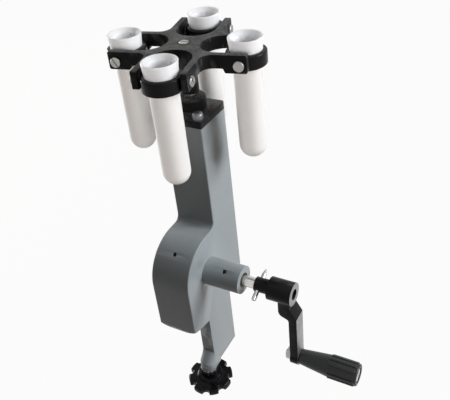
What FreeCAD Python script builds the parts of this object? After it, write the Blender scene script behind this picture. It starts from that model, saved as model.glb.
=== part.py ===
import FreeCAD
import Part
import math
import os

# Hand crank centrifuge: a cast column that clamps to a bench, a worm drive inside it,
# a four-place swing-out rotor on top and a hand crank on the right.
# All sizes are millimetres. +Z is up, +X points along the crank shaft towards the hand,
# -Y points to the front. The origin is on the foot's bottom face, below the spindle axis.

Vector = FreeCAD.Vector
X_AXIS = Vector(1, 0, 0)
Y_AXIS = Vector(0, 1, 0)
Z_AXIS = Vector(0, 0, 1)

# Clearances
RUNNING_FIT = 0.05      # radial gap of a journal in its bush, a pin in its hole
SIDE_GAP = 0.4          # axial gap beside a turning part
SEAT_GAP = 0.2          # gap left under a loosely clamped washer
OVERSHOOT = 5.0         # how far a cutting tool runs past the surface it cuts

# Column
COLUMN_WIDTH = 37.8
COLUMN_DEPTH = 40.0
COLUMN_TOP_Z = 278.6
COLUMN_EDGE_ROUND = 1.2

# Crank axis and gear train
SHAFT_CENTRES = 36.8    # crank axis to spindle axis, along Y
CRANK_Z = 142.1
WORM_STARTS = 4
WHEEL_TEETH = 40
WHEEL_MODULE = 1.4      # in the wheel's own plane of rotation
PRESSURE_ANGLE = 20.0
TOOTH_BACKLASH = 0.26   # taken off each tooth, measured square to the tooth
ROOT_DEPTH_FACTOR = 1.25
WHEEL_FACE = 10.0
WHEEL_HUB_RADIUS = 9.0
WORM_LENGTH = 22.0
WORM_COLLAR_LENGTH = 6.0
FLANK_POINTS = 4
SECTIONS_PER_TOOTH = 5  # sections of a swept gear in a turn of one tooth
TIP_EXCESS = 0.5        # swept above the tips, then turned off

# Gear housing, the round bulge on the column's front
HOUSING_RADIUS = 37.0
LEDGE_FILLET = 6.0
TOE_Z = 90.9
TOE_RADIUS = 8.0
CHAMBER_RADIUS = 30.0
CHAMBER_HALF_WIDTH = 8.0
COVER_RADIUS = 34.4
COVER_SEAT_X = -10.0
COVER_SCREW_CIRCLE = 32.0
COVER_SCREW_RADIUS = 1.25
COVER_SCREW_HEAD_RADIUS = 2.2
COVER_SCREW_LENGTH = 13.0
COVER_SCREW_ANGLES = (45.0, 105.0, 165.0, 225.0)
OIL_HOLE_RADIUS = 2.0
RIM_OIL_HOLE_DEG = 53.6
BOSS_OIL_HOLE_DEG = 57.0
BOSS_OIL_HOLE_X = 39.3

# Crank boss and its bushes
BOSS_RADIUS = 12.9
BOSS_END_X = 54.0
CRANK_BUSH_RADIUS = 7.0
OUTER_BUSH_LENGTH = 11.0
INNER_BUSH_LENGTH = 20.0

# Leg and foot
WEB_THICKNESS = 13.0
LEG_FRONT_Y = -31.0
LEG_BACK_Y = 12.7
LEG_TOP_FRONT_Z = 65.6
LEG_TOP_BACK_Z = 86.0
COLUMN_HEEL_Z = 105.0
HIP_Y = -48.6           # where the two tapering faces meet on the column's side
HIP_Z = 133.8
CROTCH_Y = -15.0        # where they meet on the web
CROTCH_Z = 97.5
STEEP_FOLD_DEG = 28.5   # front fold, forward of straight down
SHALLOW_FOLD_DEG = 23.1  # upper fold, below level
FOLD_REACH = 230.0
STUD_Y = -34.5
TOE_SAG = 4.0           # how far the toe's corners rise above its middle
FOOT_BOSS_RADIUS = 8.2
FOOT_BOSS_HEIGHT = 20.0
FOOT_BOSS_SHOULDER_Z = 9.0  # the boss is upright up to here
FOOT_BOSS_CROWN = 1.0   # how far the boss's front bows out where it meets the leg

# Bearing cap and spindle
CAP_PLATE = 6.7
CAP_BOSS_RADIUS = 12.3
CAP_BOSS_TOP_Z = 297.0
CAP_BOSS_FILLET = 2.0
COLUMN_BORE_RADIUS = 10.6
CAP_SPIGOT_LENGTH = 14.0
UPPER_BUSH_RADIUS = 7.0
UPPER_BUSH_LENGTH = 22.0
GRUB_SCREW_RADIUS = 2.0
BORE_BOTTOM_Z = 114.0
LOWER_BUSH_LENGTH = 13.0
BALL_RADIUS = 3.0
BALL_SOCKET_DEPTH = 1.5
SPINDLE_RADIUS = 5.0
SPINDLE_SEAT_Z = 301.0  # shoulder that the rotor's hub stands on
SPINDLE_NOSE_RADIUS = 4.0
WORM_PIN_RADIUS = 1.25

# Rotor
ROTOR_TURN_DEG = 11.33
BUCKET_COUNT = 4
BUCKET_CIRCLE = 50.25
SPIDER_TOP_Z = 342.2
SPIDER_THICKNESS = 10.8
SPIDER_HUB_RADIUS = 7.6
SLOT_HALF_WIDTH = 17.0
SLOT_THROAT_CENTRE = 31.0
PRONG_THICKNESS = 5.0
PRONG_REACH = 56.5
ARM_CORNER_RADIUS = 9.0
LUG_DROP = 3.6
LUG_START = 39.0
PRONG_END_ROUND = 1.5
PIVOT_Z = 333.9
PIVOT_HEAD_RADIUS = 4.25
PIVOT_HEAD_THICKNESS = 2.0
PIVOT_SHANK_RADIUS = 2.2
PIVOT_TIP_RADIUS = 1.9
PIVOT_SLOT_TURN_DEG = 60.0
SCREW_SLOT_WIDTH = 1.0
SCREW_SLOT_DEPTH = 0.9
ROTOR_SCREW_RADIUS = 2.0
ROTOR_SCREW_HEAD_RADIUS = 4.0
ROTOR_SCREW_HEAD_THICKNESS = 2.0
ROTOR_SCREW_SINK = 1.0
ROTOR_SCREW_LENGTH = 16.0
ROTOR_PIN_RADIUS = 1.25
ROTOR_PIN_Z = 318.0
ROTOR_PIN_TURN_DEG = 33.9

# Buckets: a trunnion ring and the tube shield that hangs in it
RING_RADIUS = 16.3
RING_BORE_RADIUS = 11.8
RING_BOTTOM_Z = 326.5
RING_TOP_Z = 338.2
RING_EDGE_ROUND = 1.5
TRUNNION_HOLE_DEPTH = 2.9
SHIELD_RADIUS = 11.5
SHIELD_WALL = 2.75
SHIELD_COLLAR_RADIUS = 13.0
SHIELD_COLLAR_HEIGHT = 1.6
SHIELD_RIM_RADIUS = 14.0
SHIELD_RIM_WALL = 1.3
SHIELD_TOP_Z = 348.9
SHIELD_FUNNEL_DEPTH = 4.0
SHIELD_LENGTH = 104.7

# Crank shaft, crank arm and handle
SHAFT_RADIUS = 5.0
SHAFT_TAIL_RADIUS = 4.0
SHAFT_TAIL_LENGTH = 5.5
SHAFT_END_X = 97.5
KEY_WIDTH = 3.0
KEY_HEIGHT = 3.0
KEY_LENGTH = 12.0
KEY_SINK = 1.6
NECK_START_X = 66.5
NECK_RADIUS = 6.7
CRANK_HUB_START_X = 80.0
CRANK_HUB_END_X = 102.3
CRANK_HUB_RADIUS = 10.5
DRIVE_PIN_X = 70.0
DRIVE_PIN_RADIUS = 2.1
DRIVE_PIN_LENGTH = 31.0
DRIVE_PIN_POINT = 5.0
DRIVE_PIN_TIP_RADIUS = 0.7
DRIVE_PIN_TURN_DEG = 23.0
CRANK_THROW = 76.0
ARM_WIDTH = 14.0
ARM_BACK_X = 99.0
ARM_FACE_X = 106.6
ARM_EYE_RADIUS = 8.2
ARM_SHOULDER_DROP = 23.4
ARM_SHOULDER_X = 100.5
ARM_SHOULDER_RISE = 10.3
GUSSET_BACK_X = 89.5
GUSSET_DROP = 22.6
GUSSET_ROUND = 6.0
GUSSET_STEP = 3.5
GUSSET_INNER_ROUND = 3.0
HANDLE_BOLT_RADIUS = 3.0
HANDLE_BOLT_HEAD_RADIUS = 6.2
HANDLE_BOLT_HEAD = 3.0
HANDLE_BOLT_SINK = 0.6
HANDLE_NUT_ACROSS_FLATS = 11.0
HANDLE_NUT_HEIGHT = 5.0
NUT_CHAMFER = 0.5
NUT_STAND_OUT = 1.5
GRIP_START_RADIUS = 7.0
GRIP_SHOULDER_X = 133.0
GRIP_SHOULDER_LENGTH = 1.5
GRIP_RADIUS = 11.0
GRIP_END_X = 161.5
GRIP_END_CHAMFER = 1.2
GRIP_RIB_COUNT = 12
GRIP_GROOVE_RADIUS = 1.4
GRIP_GROOVE_OFFSET = 0.4  # groove centres lie this far outside the grip's round
GRIP_CONE_RADIUS = 10.0

# Bench clamp: star knob, stud and washer under the foot
STUD_RADIUS = 4.0
STUD_LENGTH = 27.3
STUD_HOLE_DEPTH = 12.0
WASHER_RADIUS = 8.5
WASHER_THICKNESS = 1.8
KNOB_LOBES = 8
KNOB_RADIUS = 23.2
KNOB_NOTCH_RADIUS = 4.2
KNOB_NOTCH_CENTRE = 23.6
KNOB_PHASE_DEG = 15.0
KNOB_DISC_TOP_Z = -13.0
KNOB_BOTTOM_Z = -21.0
KNOB_HUB_RADIUS = 9.5
KNOB_SHOULDER_RADIUS = 13.0
KNOB_STEP_Z = -9.0
KNOB_EDGE_ROUND = 1.2
KNOB_STUD_DEPTH = 14.0

# Places that follow from the sizes above
HALF_WIDTH = COLUMN_WIDTH / 2
HALF_DEPTH = COLUMN_DEPTH / 2
CRANK_Y = -SHAFT_CENTRES
WHEEL_PITCH_RADIUS = WHEEL_MODULE * WHEEL_TEETH / 2
WORM_PITCH_RADIUS = SHAFT_CENTRES - WHEEL_PITCH_RADIUS
WORM_LEAD = math.pi * WHEEL_MODULE * WORM_STARTS
LEAD_ANGLE = math.atan(WORM_LEAD / (2 * math.pi * WORM_PITCH_RADIUS))
NORMAL_MODULE = WHEEL_MODULE * math.cos(LEAD_ANGLE)
CAP_TOP_Z = COLUMN_TOP_Z + CAP_PLATE
SPIDER_BOTTOM_Z = SPIDER_TOP_Z - SPIDER_THICKNESS
SPINDLE_FOOT_Z = BORE_BOTTOM_Z - BALL_SOCKET_DEPTH + 2 * BALL_RADIUS + RUNNING_FIT
WORM_ROOT_RADIUS = WORM_PITCH_RADIUS - ROOT_DEPTH_FACTOR * NORMAL_MODULE
KNOB_HUB_TOP_Z = -SEAT_GAP - WASHER_THICKNESS
CRANK_CENTRE = Vector(0, CRANK_Y, CRANK_Z)
STUD_BOTTOM_Z = KNOB_HUB_TOP_Z - KNOB_STUD_DEPTH


# Shape helpers

def rounded_wire(corners):
    """Closed wire through (point, radius) corners, each radius a tangent arc."""
    count = len(corners)
    rounds = []
    for index, (corner, radius) in enumerate(corners):
        to_last = corners[index - 1][0] - corner
        to_next = corners[(index + 1) % count][0] - corner
        to_last.normalize()
        to_next.normalize()
        half_angle = to_last.getAngle(to_next) / 2
        inward = to_last + to_next
        if radius:
            inward.normalize()
        reach = radius / math.tan(half_angle)
        middle = corner + inward * (radius / math.sin(half_angle) - radius)
        rounds.append((corner + to_last * reach, middle, corner + to_next * reach, radius))
    edges = []
    for index, (start, middle, end, radius) in enumerate(rounds):
        if radius:
            edges.append(Part.Arc(start, middle, end).toShape())
        following = rounds[(index + 1) % count][0]
        if end.distanceToPoint(following) > Part.Precision.confusion() * 10:
            edges.append(Part.makeLine(end, following))
    return Part.Wire(edges)


def extruded(wire, travel):
    """Solid made by moving the flat area inside a wire along travel."""
    return Part.Face(wire).extrude(travel)


def rod(radius, start, end):
    """Round bar between two points."""
    along = end - start
    return Part.makeCylinder(radius, along.Length, start, along)


def block(low, high):
    """Box between its lowest and highest corners."""
    size = high - low
    return Part.makeBox(size.x, size.y, size.z, low)


def turned(profile, centre, axis, outward):
    """Solid of revolution; profile holds (radius, distance along the axis) corners."""
    points = [centre + outward * radius + axis * along for radius, along in profile]
    wire = Part.makePolygon(points + [points[0]])
    return Part.Face(wire).revolve(centre, axis, 360)


def hull_between(first, last):
    """Flat-faced solid between two polygons with parallel sides."""
    count = len(first)
    faces = [Part.Face(Part.makePolygon(ring + [ring[0]])) for ring in (first, last)]
    for index in range(count):
        following = (index + 1) % count
        side = [first[index], first[following], last[following], last[index], first[index]]
        faces.append(Part.Face(Part.makePolygon(side)))
    return Part.makeSolid(Part.Shell(faces))


def turned_about(shape, centre, axis, degrees):
    """Copy of a shape turned about an axis."""
    copy = shape.copy()
    copy.rotate(centre, axis, degrees)
    return copy


def edges_where(shape, test):
    """Edges of a shape whose two ends and middle all pass a test."""
    chosen = []
    for edge in shape.Edges:
        points = [vertex.Point for vertex in edge.Vertexes] + [edge.CenterOfMass]
        if all(test(point) for point in points):
            chosen.append(edge)
    return chosen


def near(value, target):
    return abs(value - target) < 0.01


def crank_radial(degrees):
    """Direction square to the crank axis, counted from the front upwards."""
    angle = math.radians(degrees)
    return Vector(0, -math.cos(angle), math.sin(angle))


# Gear geometry: crossed helical gears, a four-start worm and its wheel

def involute_point(base_radius, radius, offset, side):
    """Point of an involute flank at a radius; offset is the flank's angle at the base."""
    pressure = math.acos(min(1.0, base_radius / radius))
    spread = math.tan(pressure) - pressure
    angle = side * (offset - spread)
    return Vector(radius * math.cos(angle), radius * math.sin(angle), 0)


def gear_outline(teeth, pitch_radius, helix_angle):
    """Cross-section of a helical gear in the XY plane, with a tooth centred on +X."""
    normal_pressure = math.radians(PRESSURE_ANGLE)
    pressure = math.atan(math.tan(normal_pressure) / math.cos(helix_angle))
    base_radius = pitch_radius * math.cos(pressure)
    tip_radius = pitch_radius + NORMAL_MODULE + TIP_EXCESS
    root_radius = pitch_radius - ROOT_DEPTH_FACTOR * NORMAL_MODULE
    thinning = TOOTH_BACKLASH / math.cos(helix_angle) / (2 * pitch_radius)
    half_tooth = math.pi / (2 * teeth) - thinning
    offset = half_tooth + math.tan(pressure) - pressure
    flank_start = max(root_radius, base_radius)
    edges = []
    ends = []
    for tooth in range(teeth):
        turn = 360.0 * tooth / teeth
        flanks = []
        for side in (-1, 1):
            points = []
            for step in range(FLANK_POINTS):
                share = step / (FLANK_POINTS - 1)
                radius = flank_start + share * (tip_radius - flank_start)
                points.append(involute_point(base_radius, radius, offset, side))
            curve = Part.BSplineCurve()
            curve.interpolate(points)
            flank = curve.toShape()
            flank.rotate(Vector(), Z_AXIS, turn)
            flanks.append(flank)
        tip_middle = Vector(tip_radius, 0, 0)
        tip_middle = FreeCAD.Rotation(Z_AXIS, turn).multVec(tip_middle)
        low_flank, high_flank = flanks
        tip = Part.Arc(low_flank.Vertexes[1].Point, tip_middle, high_flank.Vertexes[1].Point)
        edges.extend([low_flank, tip.toShape(), high_flank])
        ends.append((low_flank.Vertexes[0].Point, high_flank.Vertexes[0].Point, turn))
    for tooth, (_, root_start, turn) in enumerate(ends):
        root_end = ends[(tooth + 1) % teeth][0]
        half_pitch = turn + 180.0 / teeth
        root_middle = FreeCAD.Rotation(Z_AXIS, half_pitch).multVec(Vector(root_radius, 0, 0))
        edges.append(Part.Arc(root_start, root_middle, root_end).toShape())
    return Part.Wire(Part.__sortEdges__(edges))


def helical_gear(teeth, pitch_radius, helix_angle, width, turn_per_mm):
    """Gear along +Z, centred on z = 0, with its tips turned down to their own radius."""
    outline = gear_outline(teeth, pitch_radius, helix_angle)
    swept_width = width + 2 * OVERSHOOT
    twist = turn_per_mm * swept_width
    spans = math.ceil(abs(twist) * teeth * SECTIONS_PER_TOOTH / 360)
    sections = []
    for index in range(spans + 1):
        share = index / spans - 0.5
        section = outline.copy()
        section.rotate(Vector(), Z_AXIS, twist * share)
        section.translate(Z_AXIS * (swept_width * share))
        sections.append(section)
    half = Z_AXIS * (width / 2)
    return Part.makeLoft(sections, True, False).common(rod(pitch_radius + NORMAL_MODULE, -half, half))


def worm_threads():
    """Four right-hand threads on their core, about the spindle axis."""
    helix_angle = math.pi / 2 - LEAD_ANGLE
    threads = helical_gear(WORM_STARTS, WORM_PITCH_RADIUS, helix_angle, WORM_LENGTH,
                           360.0 / WORM_LEAD)
    threads.translate(Z_AXIS * CRANK_Z)
    return threads


def wheel_teeth():
    """Toothed disc of the wheel, about the crank axis."""
    turn_per_mm = math.degrees(math.tan(LEAD_ANGLE) / WHEEL_PITCH_RADIUS)
    disc = helical_gear(WHEEL_TEETH, WHEEL_PITCH_RADIUS, LEAD_ANGLE, WHEEL_FACE, turn_per_mm)
    disc.rotate(Vector(), Y_AXIS, 90)
    disc.rotate(Vector(), X_AXIS, 90 + 180.0 / WHEEL_TEETH)
    disc.translate(CRANK_CENTRE)
    return disc


# Casting

def casting_envelope():
    """Outside of the column, gear housing and leg, before any bores."""
    front = -HALF_DEPTH
    ledge_z = CRANK_Z + HOUSING_RADIUS
    housing_front = CRANK_Y - HOUSING_RADIUS
    corners = [
        (Vector(0, HALF_DEPTH, COLUMN_TOP_Z), 0),
        (Vector(0, front, COLUMN_TOP_Z), 0),
        (Vector(0, front, ledge_z), LEDGE_FILLET),
        (Vector(0, housing_front, ledge_z), HOUSING_RADIUS),
        (Vector(0, housing_front, TOE_Z), TOE_RADIUS),
        (Vector(0, LEG_FRONT_Y, LEG_TOP_FRONT_Z), 0),
        (Vector(0, LEG_FRONT_Y, 0), 0),
        (Vector(0, LEG_BACK_Y, 0), 0),
        (Vector(0, LEG_BACK_Y, LEG_TOP_BACK_Z), 0),
        (Vector(0, HALF_DEPTH, COLUMN_HEEL_Z), 0),
    ]
    outline = rounded_wire(corners)
    outline.translate(X_AXIS * -HALF_WIDTH)
    body = extruded(outline, X_AXIS * COLUMN_WIDTH)
    side_edges = edges_where(body, lambda p: near(abs(p.x), HALF_WIDTH) and p.z > TOE_Z / 2)
    side_edges = [edge for edge in side_edges if edge.BoundBox.ZMin < COLUMN_TOP_Z - 1]
    body = body.makeFillet(COLUMN_EDGE_ROUND, side_edges)
    return body.cut([leg_taper(-1), leg_taper(1), toe_relief()])


def leg_taper(side):
    """What is cut from one side of the casting to leave the two tapering faces and the web."""
    steep = math.radians(STEEP_FOLD_DEG)
    shallow = math.radians(SHALLOW_FOLD_DEG)
    down = Vector(0, -math.sin(steep), -math.cos(steep)) * FOLD_REACH
    back = Vector(0, math.cos(shallow), -math.sin(shallow)) * FOLD_REACH
    crotch = Vector(side * WEB_THICKNESS / 2, CROTCH_Y, CROTCH_Z)
    hip = Vector(side * HALF_WIDTH, HIP_Y, HIP_Z)
    beyond = hip + (hip - crotch) / 2
    rings = []
    for apex in (crotch, beyond):
        rings.append([apex, apex + down, apex + down + back, apex + back])
    return hull_between(rings[0], rings[1])


def toe_relief():
    """What is cut below the housing so that its underside is rounded from side to side."""
    toe = Vector(0, CRANK_Y - HOUSING_RADIUS, TOE_Z)
    along = Vector(0, LEG_FRONT_Y, LEG_TOP_FRONT_Z) - toe
    reach = along.Length
    along.normalize()
    outward = along.cross(X_AXIS)
    radius = (HALF_WIDTH ** 2 + TOE_SAG ** 2) / (2 * TOE_SAG)
    centre = toe - outward * radius
    start = toe - along * (2 * TOE_RADIUS)
    half = X_AXIS * (HALF_WIDTH + OVERSHOOT)
    depth = outward * (TOE_SAG + OVERSHOOT)
    corners = [start - half - depth, start + half - depth, start + half + depth, start - half + depth]
    slab = extruded(Part.makePolygon(corners + [corners[0]]), along * (reach + 2 * TOE_RADIUS))
    return slab.cut(rod(radius, centre - along * reach, centre + along * (2 * reach)))


def foot_boss():
    """Round-fronted boss that spreads from the leg's front down to the clamp stud's seat."""
    wires = []
    for z, half, front_y, bow in ((0, FOOT_BOSS_RADIUS, STUD_Y, FOOT_BOSS_RADIUS),
                                  (FOOT_BOSS_SHOULDER_Z, FOOT_BOSS_RADIUS, STUD_Y, FOOT_BOSS_RADIUS),
                                  (FOOT_BOSS_HEIGHT, WEB_THICKNESS / 2, LEG_FRONT_Y, FOOT_BOSS_CROWN)):
        left = Vector(-half, front_y, z)
        right = Vector(half, front_y, z)
        back_left = Vector(-half, LEG_FRONT_Y + FOOT_BOSS_RADIUS, z)
        back_right = Vector(half, LEG_FRONT_Y + FOOT_BOSS_RADIUS, z)
        wires.append(Part.Wire([
            Part.Arc(left, Vector(0, front_y - bow, z), right).toShape(),
            Part.makeLine(right, back_right),
            Part.makeLine(back_right, back_left),
            Part.makeLine(back_left, left),
        ]))
    return Part.makeLoft(wires, True, True)


def body_casting():
    casting = casting_envelope()
    boss_start = CRANK_CENTRE + X_AXIS * CHAMBER_HALF_WIDTH
    boss_end = CRANK_CENTRE + X_AXIS * BOSS_END_X
    casting = casting.fuse([rod(BOSS_RADIUS, boss_start, boss_end), foot_boss()])
    bore_bottom = Z_AXIS * BORE_BOTTOM_Z
    cuts = [
        rod(COLUMN_BORE_RADIUS, bore_bottom, Z_AXIS * (COLUMN_TOP_Z + OVERSHOOT)),
        Part.makeSphere(BALL_RADIUS, thrust_ball_centre()),
        gear_chamber(),
        cover_recess(),
        rod(CRANK_BUSH_RADIUS, CRANK_CENTRE, boss_end + X_AXIS * OVERSHOOT),
        oil_hole(0, RIM_OIL_HOLE_DEG, CHAMBER_RADIUS - OVERSHOOT, HOUSING_RADIUS),
        oil_hole(BOSS_OIL_HOLE_X, BOSS_OIL_HOLE_DEG, 0, BOSS_RADIUS),
        rod(STUD_RADIUS + RUNNING_FIT, stud_point(-OVERSHOOT), stud_point(STUD_HOLE_DEPTH)),
    ]
    cuts.extend(cover_screw_blanks(COVER_SCREW_RADIUS))
    cuts.extend(cap_grub_blanks())
    return casting.cut(cuts).removeSplitter()


def gear_chamber():
    start = CRANK_CENTRE - X_AXIS * (HALF_WIDTH + OVERSHOOT)
    return rod(CHAMBER_RADIUS, start, CRANK_CENTRE + X_AXIS * CHAMBER_HALF_WIDTH)


def cover_recess():
    start = CRANK_CENTRE - X_AXIS * (HALF_WIDTH + OVERSHOOT)
    return rod(COVER_RADIUS, start, CRANK_CENTRE + X_AXIS * COVER_SEAT_X)


def oil_hole(x, degrees, start_radius, surface_radius):
    along = crank_radial(degrees)
    centre = CRANK_CENTRE + X_AXIS * x
    return rod(OIL_HOLE_RADIUS, centre + along * start_radius,
               centre + along * (surface_radius + OVERSHOOT))


def cover_screw_blanks(radius):
    """Straight blanks on the cover's screw places, from outside the cover inwards."""
    blanks = []
    for degrees in COVER_SCREW_ANGLES:
        angle = math.radians(degrees)
        offset = Vector(0, math.cos(angle), math.sin(angle)) * COVER_SCREW_CIRCLE
        start = CRANK_CENTRE + offset - X_AXIS * HALF_WIDTH
        blanks.append(rod(radius, start, start + X_AXIS * COVER_SCREW_LENGTH))
    return blanks


def gear_cover():
    """Plug cover on the left, flush with the casting, with a blind journal for the shaft."""
    cover = casting_envelope().common(cover_recess())
    spigot_start = CRANK_CENTRE + X_AXIS * COVER_SEAT_X
    spigot_end = CRANK_CENTRE - X_AXIS * (CHAMBER_HALF_WIDTH + SIDE_GAP)
    cover = cover.fuse(rod(CHAMBER_RADIUS - RUNNING_FIT, spigot_start, spigot_end))
    journal_radius = SHAFT_TAIL_RADIUS + RUNNING_FIT
    journal_end = spigot_end - X_AXIS * (SHAFT_TAIL_LENGTH + SIDE_GAP)
    cuts = [rod(journal_radius, spigot_end + X_AXIS * OVERSHOOT, journal_end)]
    cuts.extend(cover_screw_blanks(COVER_SCREW_RADIUS))
    cuts.extend(countersinks())
    bore = rod(COLUMN_BORE_RADIUS, Z_AXIS * BORE_BOTTOM_Z, Z_AXIS * COLUMN_TOP_Z)
    cuts.append(bore)
    return cover.cut(cuts).removeSplitter()


def countersinks():
    depth = COVER_SCREW_HEAD_RADIUS - COVER_SCREW_RADIUS
    cones = []
    for blank in cover_screw_blanks(COVER_SCREW_RADIUS):
        centre = Vector(-HALF_WIDTH, blank.CenterOfMass.y, blank.CenterOfMass.z)
        cones.append(Part.makeCone(COVER_SCREW_HEAD_RADIUS, COVER_SCREW_RADIUS, depth,
                                   centre, X_AXIS))
    return cones


def gear_cover_screws():
    screws = []
    for blank, cone in zip(cover_screw_blanks(COVER_SCREW_RADIUS), countersinks()):
        screw = blank.fuse(cone).removeSplitter()
        centre = Vector(-HALF_WIDTH, blank.CenterOfMass.y, blank.CenterOfMass.z)
        half = Vector(SCREW_SLOT_DEPTH / 2, COVER_SCREW_HEAD_RADIUS, SCREW_SLOT_WIDTH / 4)
        screws.append(screw.cut(block(centre - half, centre + half)))
    return Part.makeCompound(screws)


# Spindle bearings

def thrust_ball_centre():
    return Z_AXIS * (BORE_BOTTOM_Z - BALL_SOCKET_DEPTH + BALL_RADIUS)


def thrust_ball():
    return Part.makeSphere(BALL_RADIUS, thrust_ball_centre())


def bush(outer_radius, inner_radius, start, end):
    return rod(outer_radius, start, end).cut(rod(inner_radius, start, end))


def lower_spindle_bush():
    start = Z_AXIS * BORE_BOTTOM_Z
    return bush(COLUMN_BORE_RADIUS, SPINDLE_RADIUS + RUNNING_FIT, start,
                start + Z_AXIS * LOWER_BUSH_LENGTH)


def upper_spindle_bush():
    end = Z_AXIS * (CAP_BOSS_TOP_Z - SIDE_GAP)
    return bush(UPPER_BUSH_RADIUS, SPINDLE_RADIUS + RUNNING_FIT,
                end - Z_AXIS * UPPER_BUSH_LENGTH, end)


def cap_grub_blanks():
    """Two grub screws, from the back and from the left, that hold the cap's spigot."""
    z = COLUMN_TOP_Z - CAP_SPIGOT_LENGTH / 2
    blanks = []
    for direction, wall in ((Y_AXIS, HALF_DEPTH), (X_AXIS * -1, HALF_WIDTH)):
        start = Z_AXIS * z + direction * (COLUMN_BORE_RADIUS - 1)
        blanks.append(rod(GRUB_SCREW_RADIUS, start, Z_AXIS * z + direction * wall))
    return blanks


def cap_grub_screws():
    screws = []
    z = COLUMN_TOP_Z - CAP_SPIGOT_LENGTH / 2
    socket_radius = GRUB_SCREW_RADIUS / 2
    for blank, direction, wall in zip(cap_grub_blanks(), (Y_AXIS, X_AXIS * -1),
                                      (HALF_DEPTH, HALF_WIDTH)):
        end = Z_AXIS * z + direction * wall
        socket = rod(socket_radius, end - direction * GRUB_SCREW_RADIUS, end)
        screws.append(blank.cut(socket))
    return Part.makeCompound(screws)


def bearing_cap():
    plate = block(Vector(-HALF_WIDTH, -HALF_DEPTH, COLUMN_TOP_Z),
                  Vector(HALF_WIDTH, HALF_DEPTH, CAP_TOP_Z))
    upright = edges_where(plate, lambda p: near(abs(p.x), HALF_WIDTH)
                          and near(abs(p.y), HALF_DEPTH))
    plate = plate.makeFillet(COLUMN_EDGE_ROUND, upright)
    boss_profile = [
        (0, COLUMN_TOP_Z - CAP_SPIGOT_LENGTH),
        (COLUMN_BORE_RADIUS, COLUMN_TOP_Z - CAP_SPIGOT_LENGTH),
        (COLUMN_BORE_RADIUS, COLUMN_TOP_Z),
        (CAP_BOSS_RADIUS + CAP_BOSS_FILLET, COLUMN_TOP_Z),
        (CAP_BOSS_RADIUS + CAP_BOSS_FILLET, CAP_TOP_Z),
        (CAP_BOSS_RADIUS, CAP_TOP_Z + CAP_BOSS_FILLET),
        (CAP_BOSS_RADIUS, CAP_BOSS_TOP_Z - COLUMN_EDGE_ROUND),
        (CAP_BOSS_RADIUS - COLUMN_EDGE_ROUND, CAP_BOSS_TOP_Z),
        (0, CAP_BOSS_TOP_Z),
    ]
    cap = plate.fuse(turned(boss_profile, Vector(), Z_AXIS, X_AXIS))
    bush_top = Z_AXIS * (CAP_BOSS_TOP_Z + OVERSHOOT)
    bush_bottom = Z_AXIS * (CAP_BOSS_TOP_Z - SIDE_GAP - UPPER_BUSH_LENGTH)
    spigot_bottom = Z_AXIS * (COLUMN_TOP_Z - CAP_SPIGOT_LENGTH - OVERSHOOT)
    clearance_radius = SPINDLE_RADIUS + SIDE_GAP
    cuts = [rod(UPPER_BUSH_RADIUS, bush_bottom, bush_top),
            rod(clearance_radius, spigot_bottom, bush_top)]
    return cap.cut(cuts + cap_grub_blanks()).removeSplitter()


# Spindle group

def spindle():
    shaft = rod(SPINDLE_RADIUS, Z_AXIS * SPINDLE_FOOT_Z, Z_AXIS * SPINDLE_SEAT_Z)
    nose_top = SPIDER_TOP_Z - SPINDLE_RADIUS
    nose = rod(SPINDLE_NOSE_RADIUS, Z_AXIS * SPINDLE_SEAT_Z, Z_AXIS * nose_top)
    return shaft.fuse(nose).cut([rotor_screw_shank(), rotor_pin(), worm_pin()]).removeSplitter()


def worm():
    core = rod(SPINDLE_RADIUS, Z_AXIS * (CRANK_Z - WORM_LENGTH), Z_AXIS * (CRANK_Z + WORM_LENGTH))
    collar_start = Z_AXIS * (CRANK_Z + WORM_LENGTH / 2)
    collar = rod(WORM_ROOT_RADIUS, collar_start, collar_start + Z_AXIS * WORM_COLLAR_LENGTH)
    return worm_threads().fuse(collar).cut([core, worm_pin()])


def worm_pin():
    """Cross pin through the worm's collar and the spindle, cut to the collar's round."""
    centre = Z_AXIS * (CRANK_Z + (WORM_LENGTH + WORM_COLLAR_LENGTH) / 2)
    along = X_AXIS * WORM_ROOT_RADIUS
    pin = rod(WORM_PIN_RADIUS, centre - along, centre + along)
    half = Z_AXIS * (WORM_COLLAR_LENGTH / 2)
    return pin.common(rod(WORM_ROOT_RADIUS, centre - half, centre + half))


def rotor_pin():
    angle = math.radians(ROTOR_PIN_TURN_DEG)
    along = Vector(math.cos(angle), math.sin(angle), 0) * SPIDER_HUB_RADIUS
    centre = Z_AXIS * ROTOR_PIN_Z
    pin = rod(ROTOR_PIN_RADIUS, centre - along, centre + along)
    return pin.common(rod(SPIDER_HUB_RADIUS, Z_AXIS * SPINDLE_SEAT_Z, Z_AXIS * SPIDER_TOP_Z))


def rotor_screw_shank():
    top = Z_AXIS * (SPIDER_TOP_Z - ROTOR_SCREW_SINK)
    return rod(ROTOR_SCREW_RADIUS, top - Z_AXIS * ROTOR_SCREW_LENGTH, top)


def rotor_screw():
    seat = Z_AXIS * (SPIDER_TOP_Z - ROTOR_SCREW_SINK)
    top = seat + Z_AXIS * ROTOR_SCREW_HEAD_THICKNESS
    head = rod(ROTOR_SCREW_HEAD_RADIUS, seat, top)
    head = head.makeChamfer(SCREW_SLOT_WIDTH / 2, edges_where(head, lambda p: near(p.z, top.z)))
    half = Vector(ROTOR_SCREW_HEAD_RADIUS, SCREW_SLOT_WIDTH / 2, SCREW_SLOT_DEPTH)
    return rotor_screw_shank().fuse(head).cut(block(top - half, top + half)).removeSplitter()


def fork_arms():
    """Four crossed bars that hold the forks, each from the spindle axis to the prong ends."""
    half = SLOT_HALF_WIDTH + PRONG_THICKNESS
    bar = block(Vector(0, -half, SPIDER_BOTTOM_Z), Vector(PRONG_REACH, half, SPIDER_TOP_Z))
    return [turned_about(bar, Vector(), Z_AXIS, 90 * index) for index in range(BUCKET_COUNT)]


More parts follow.
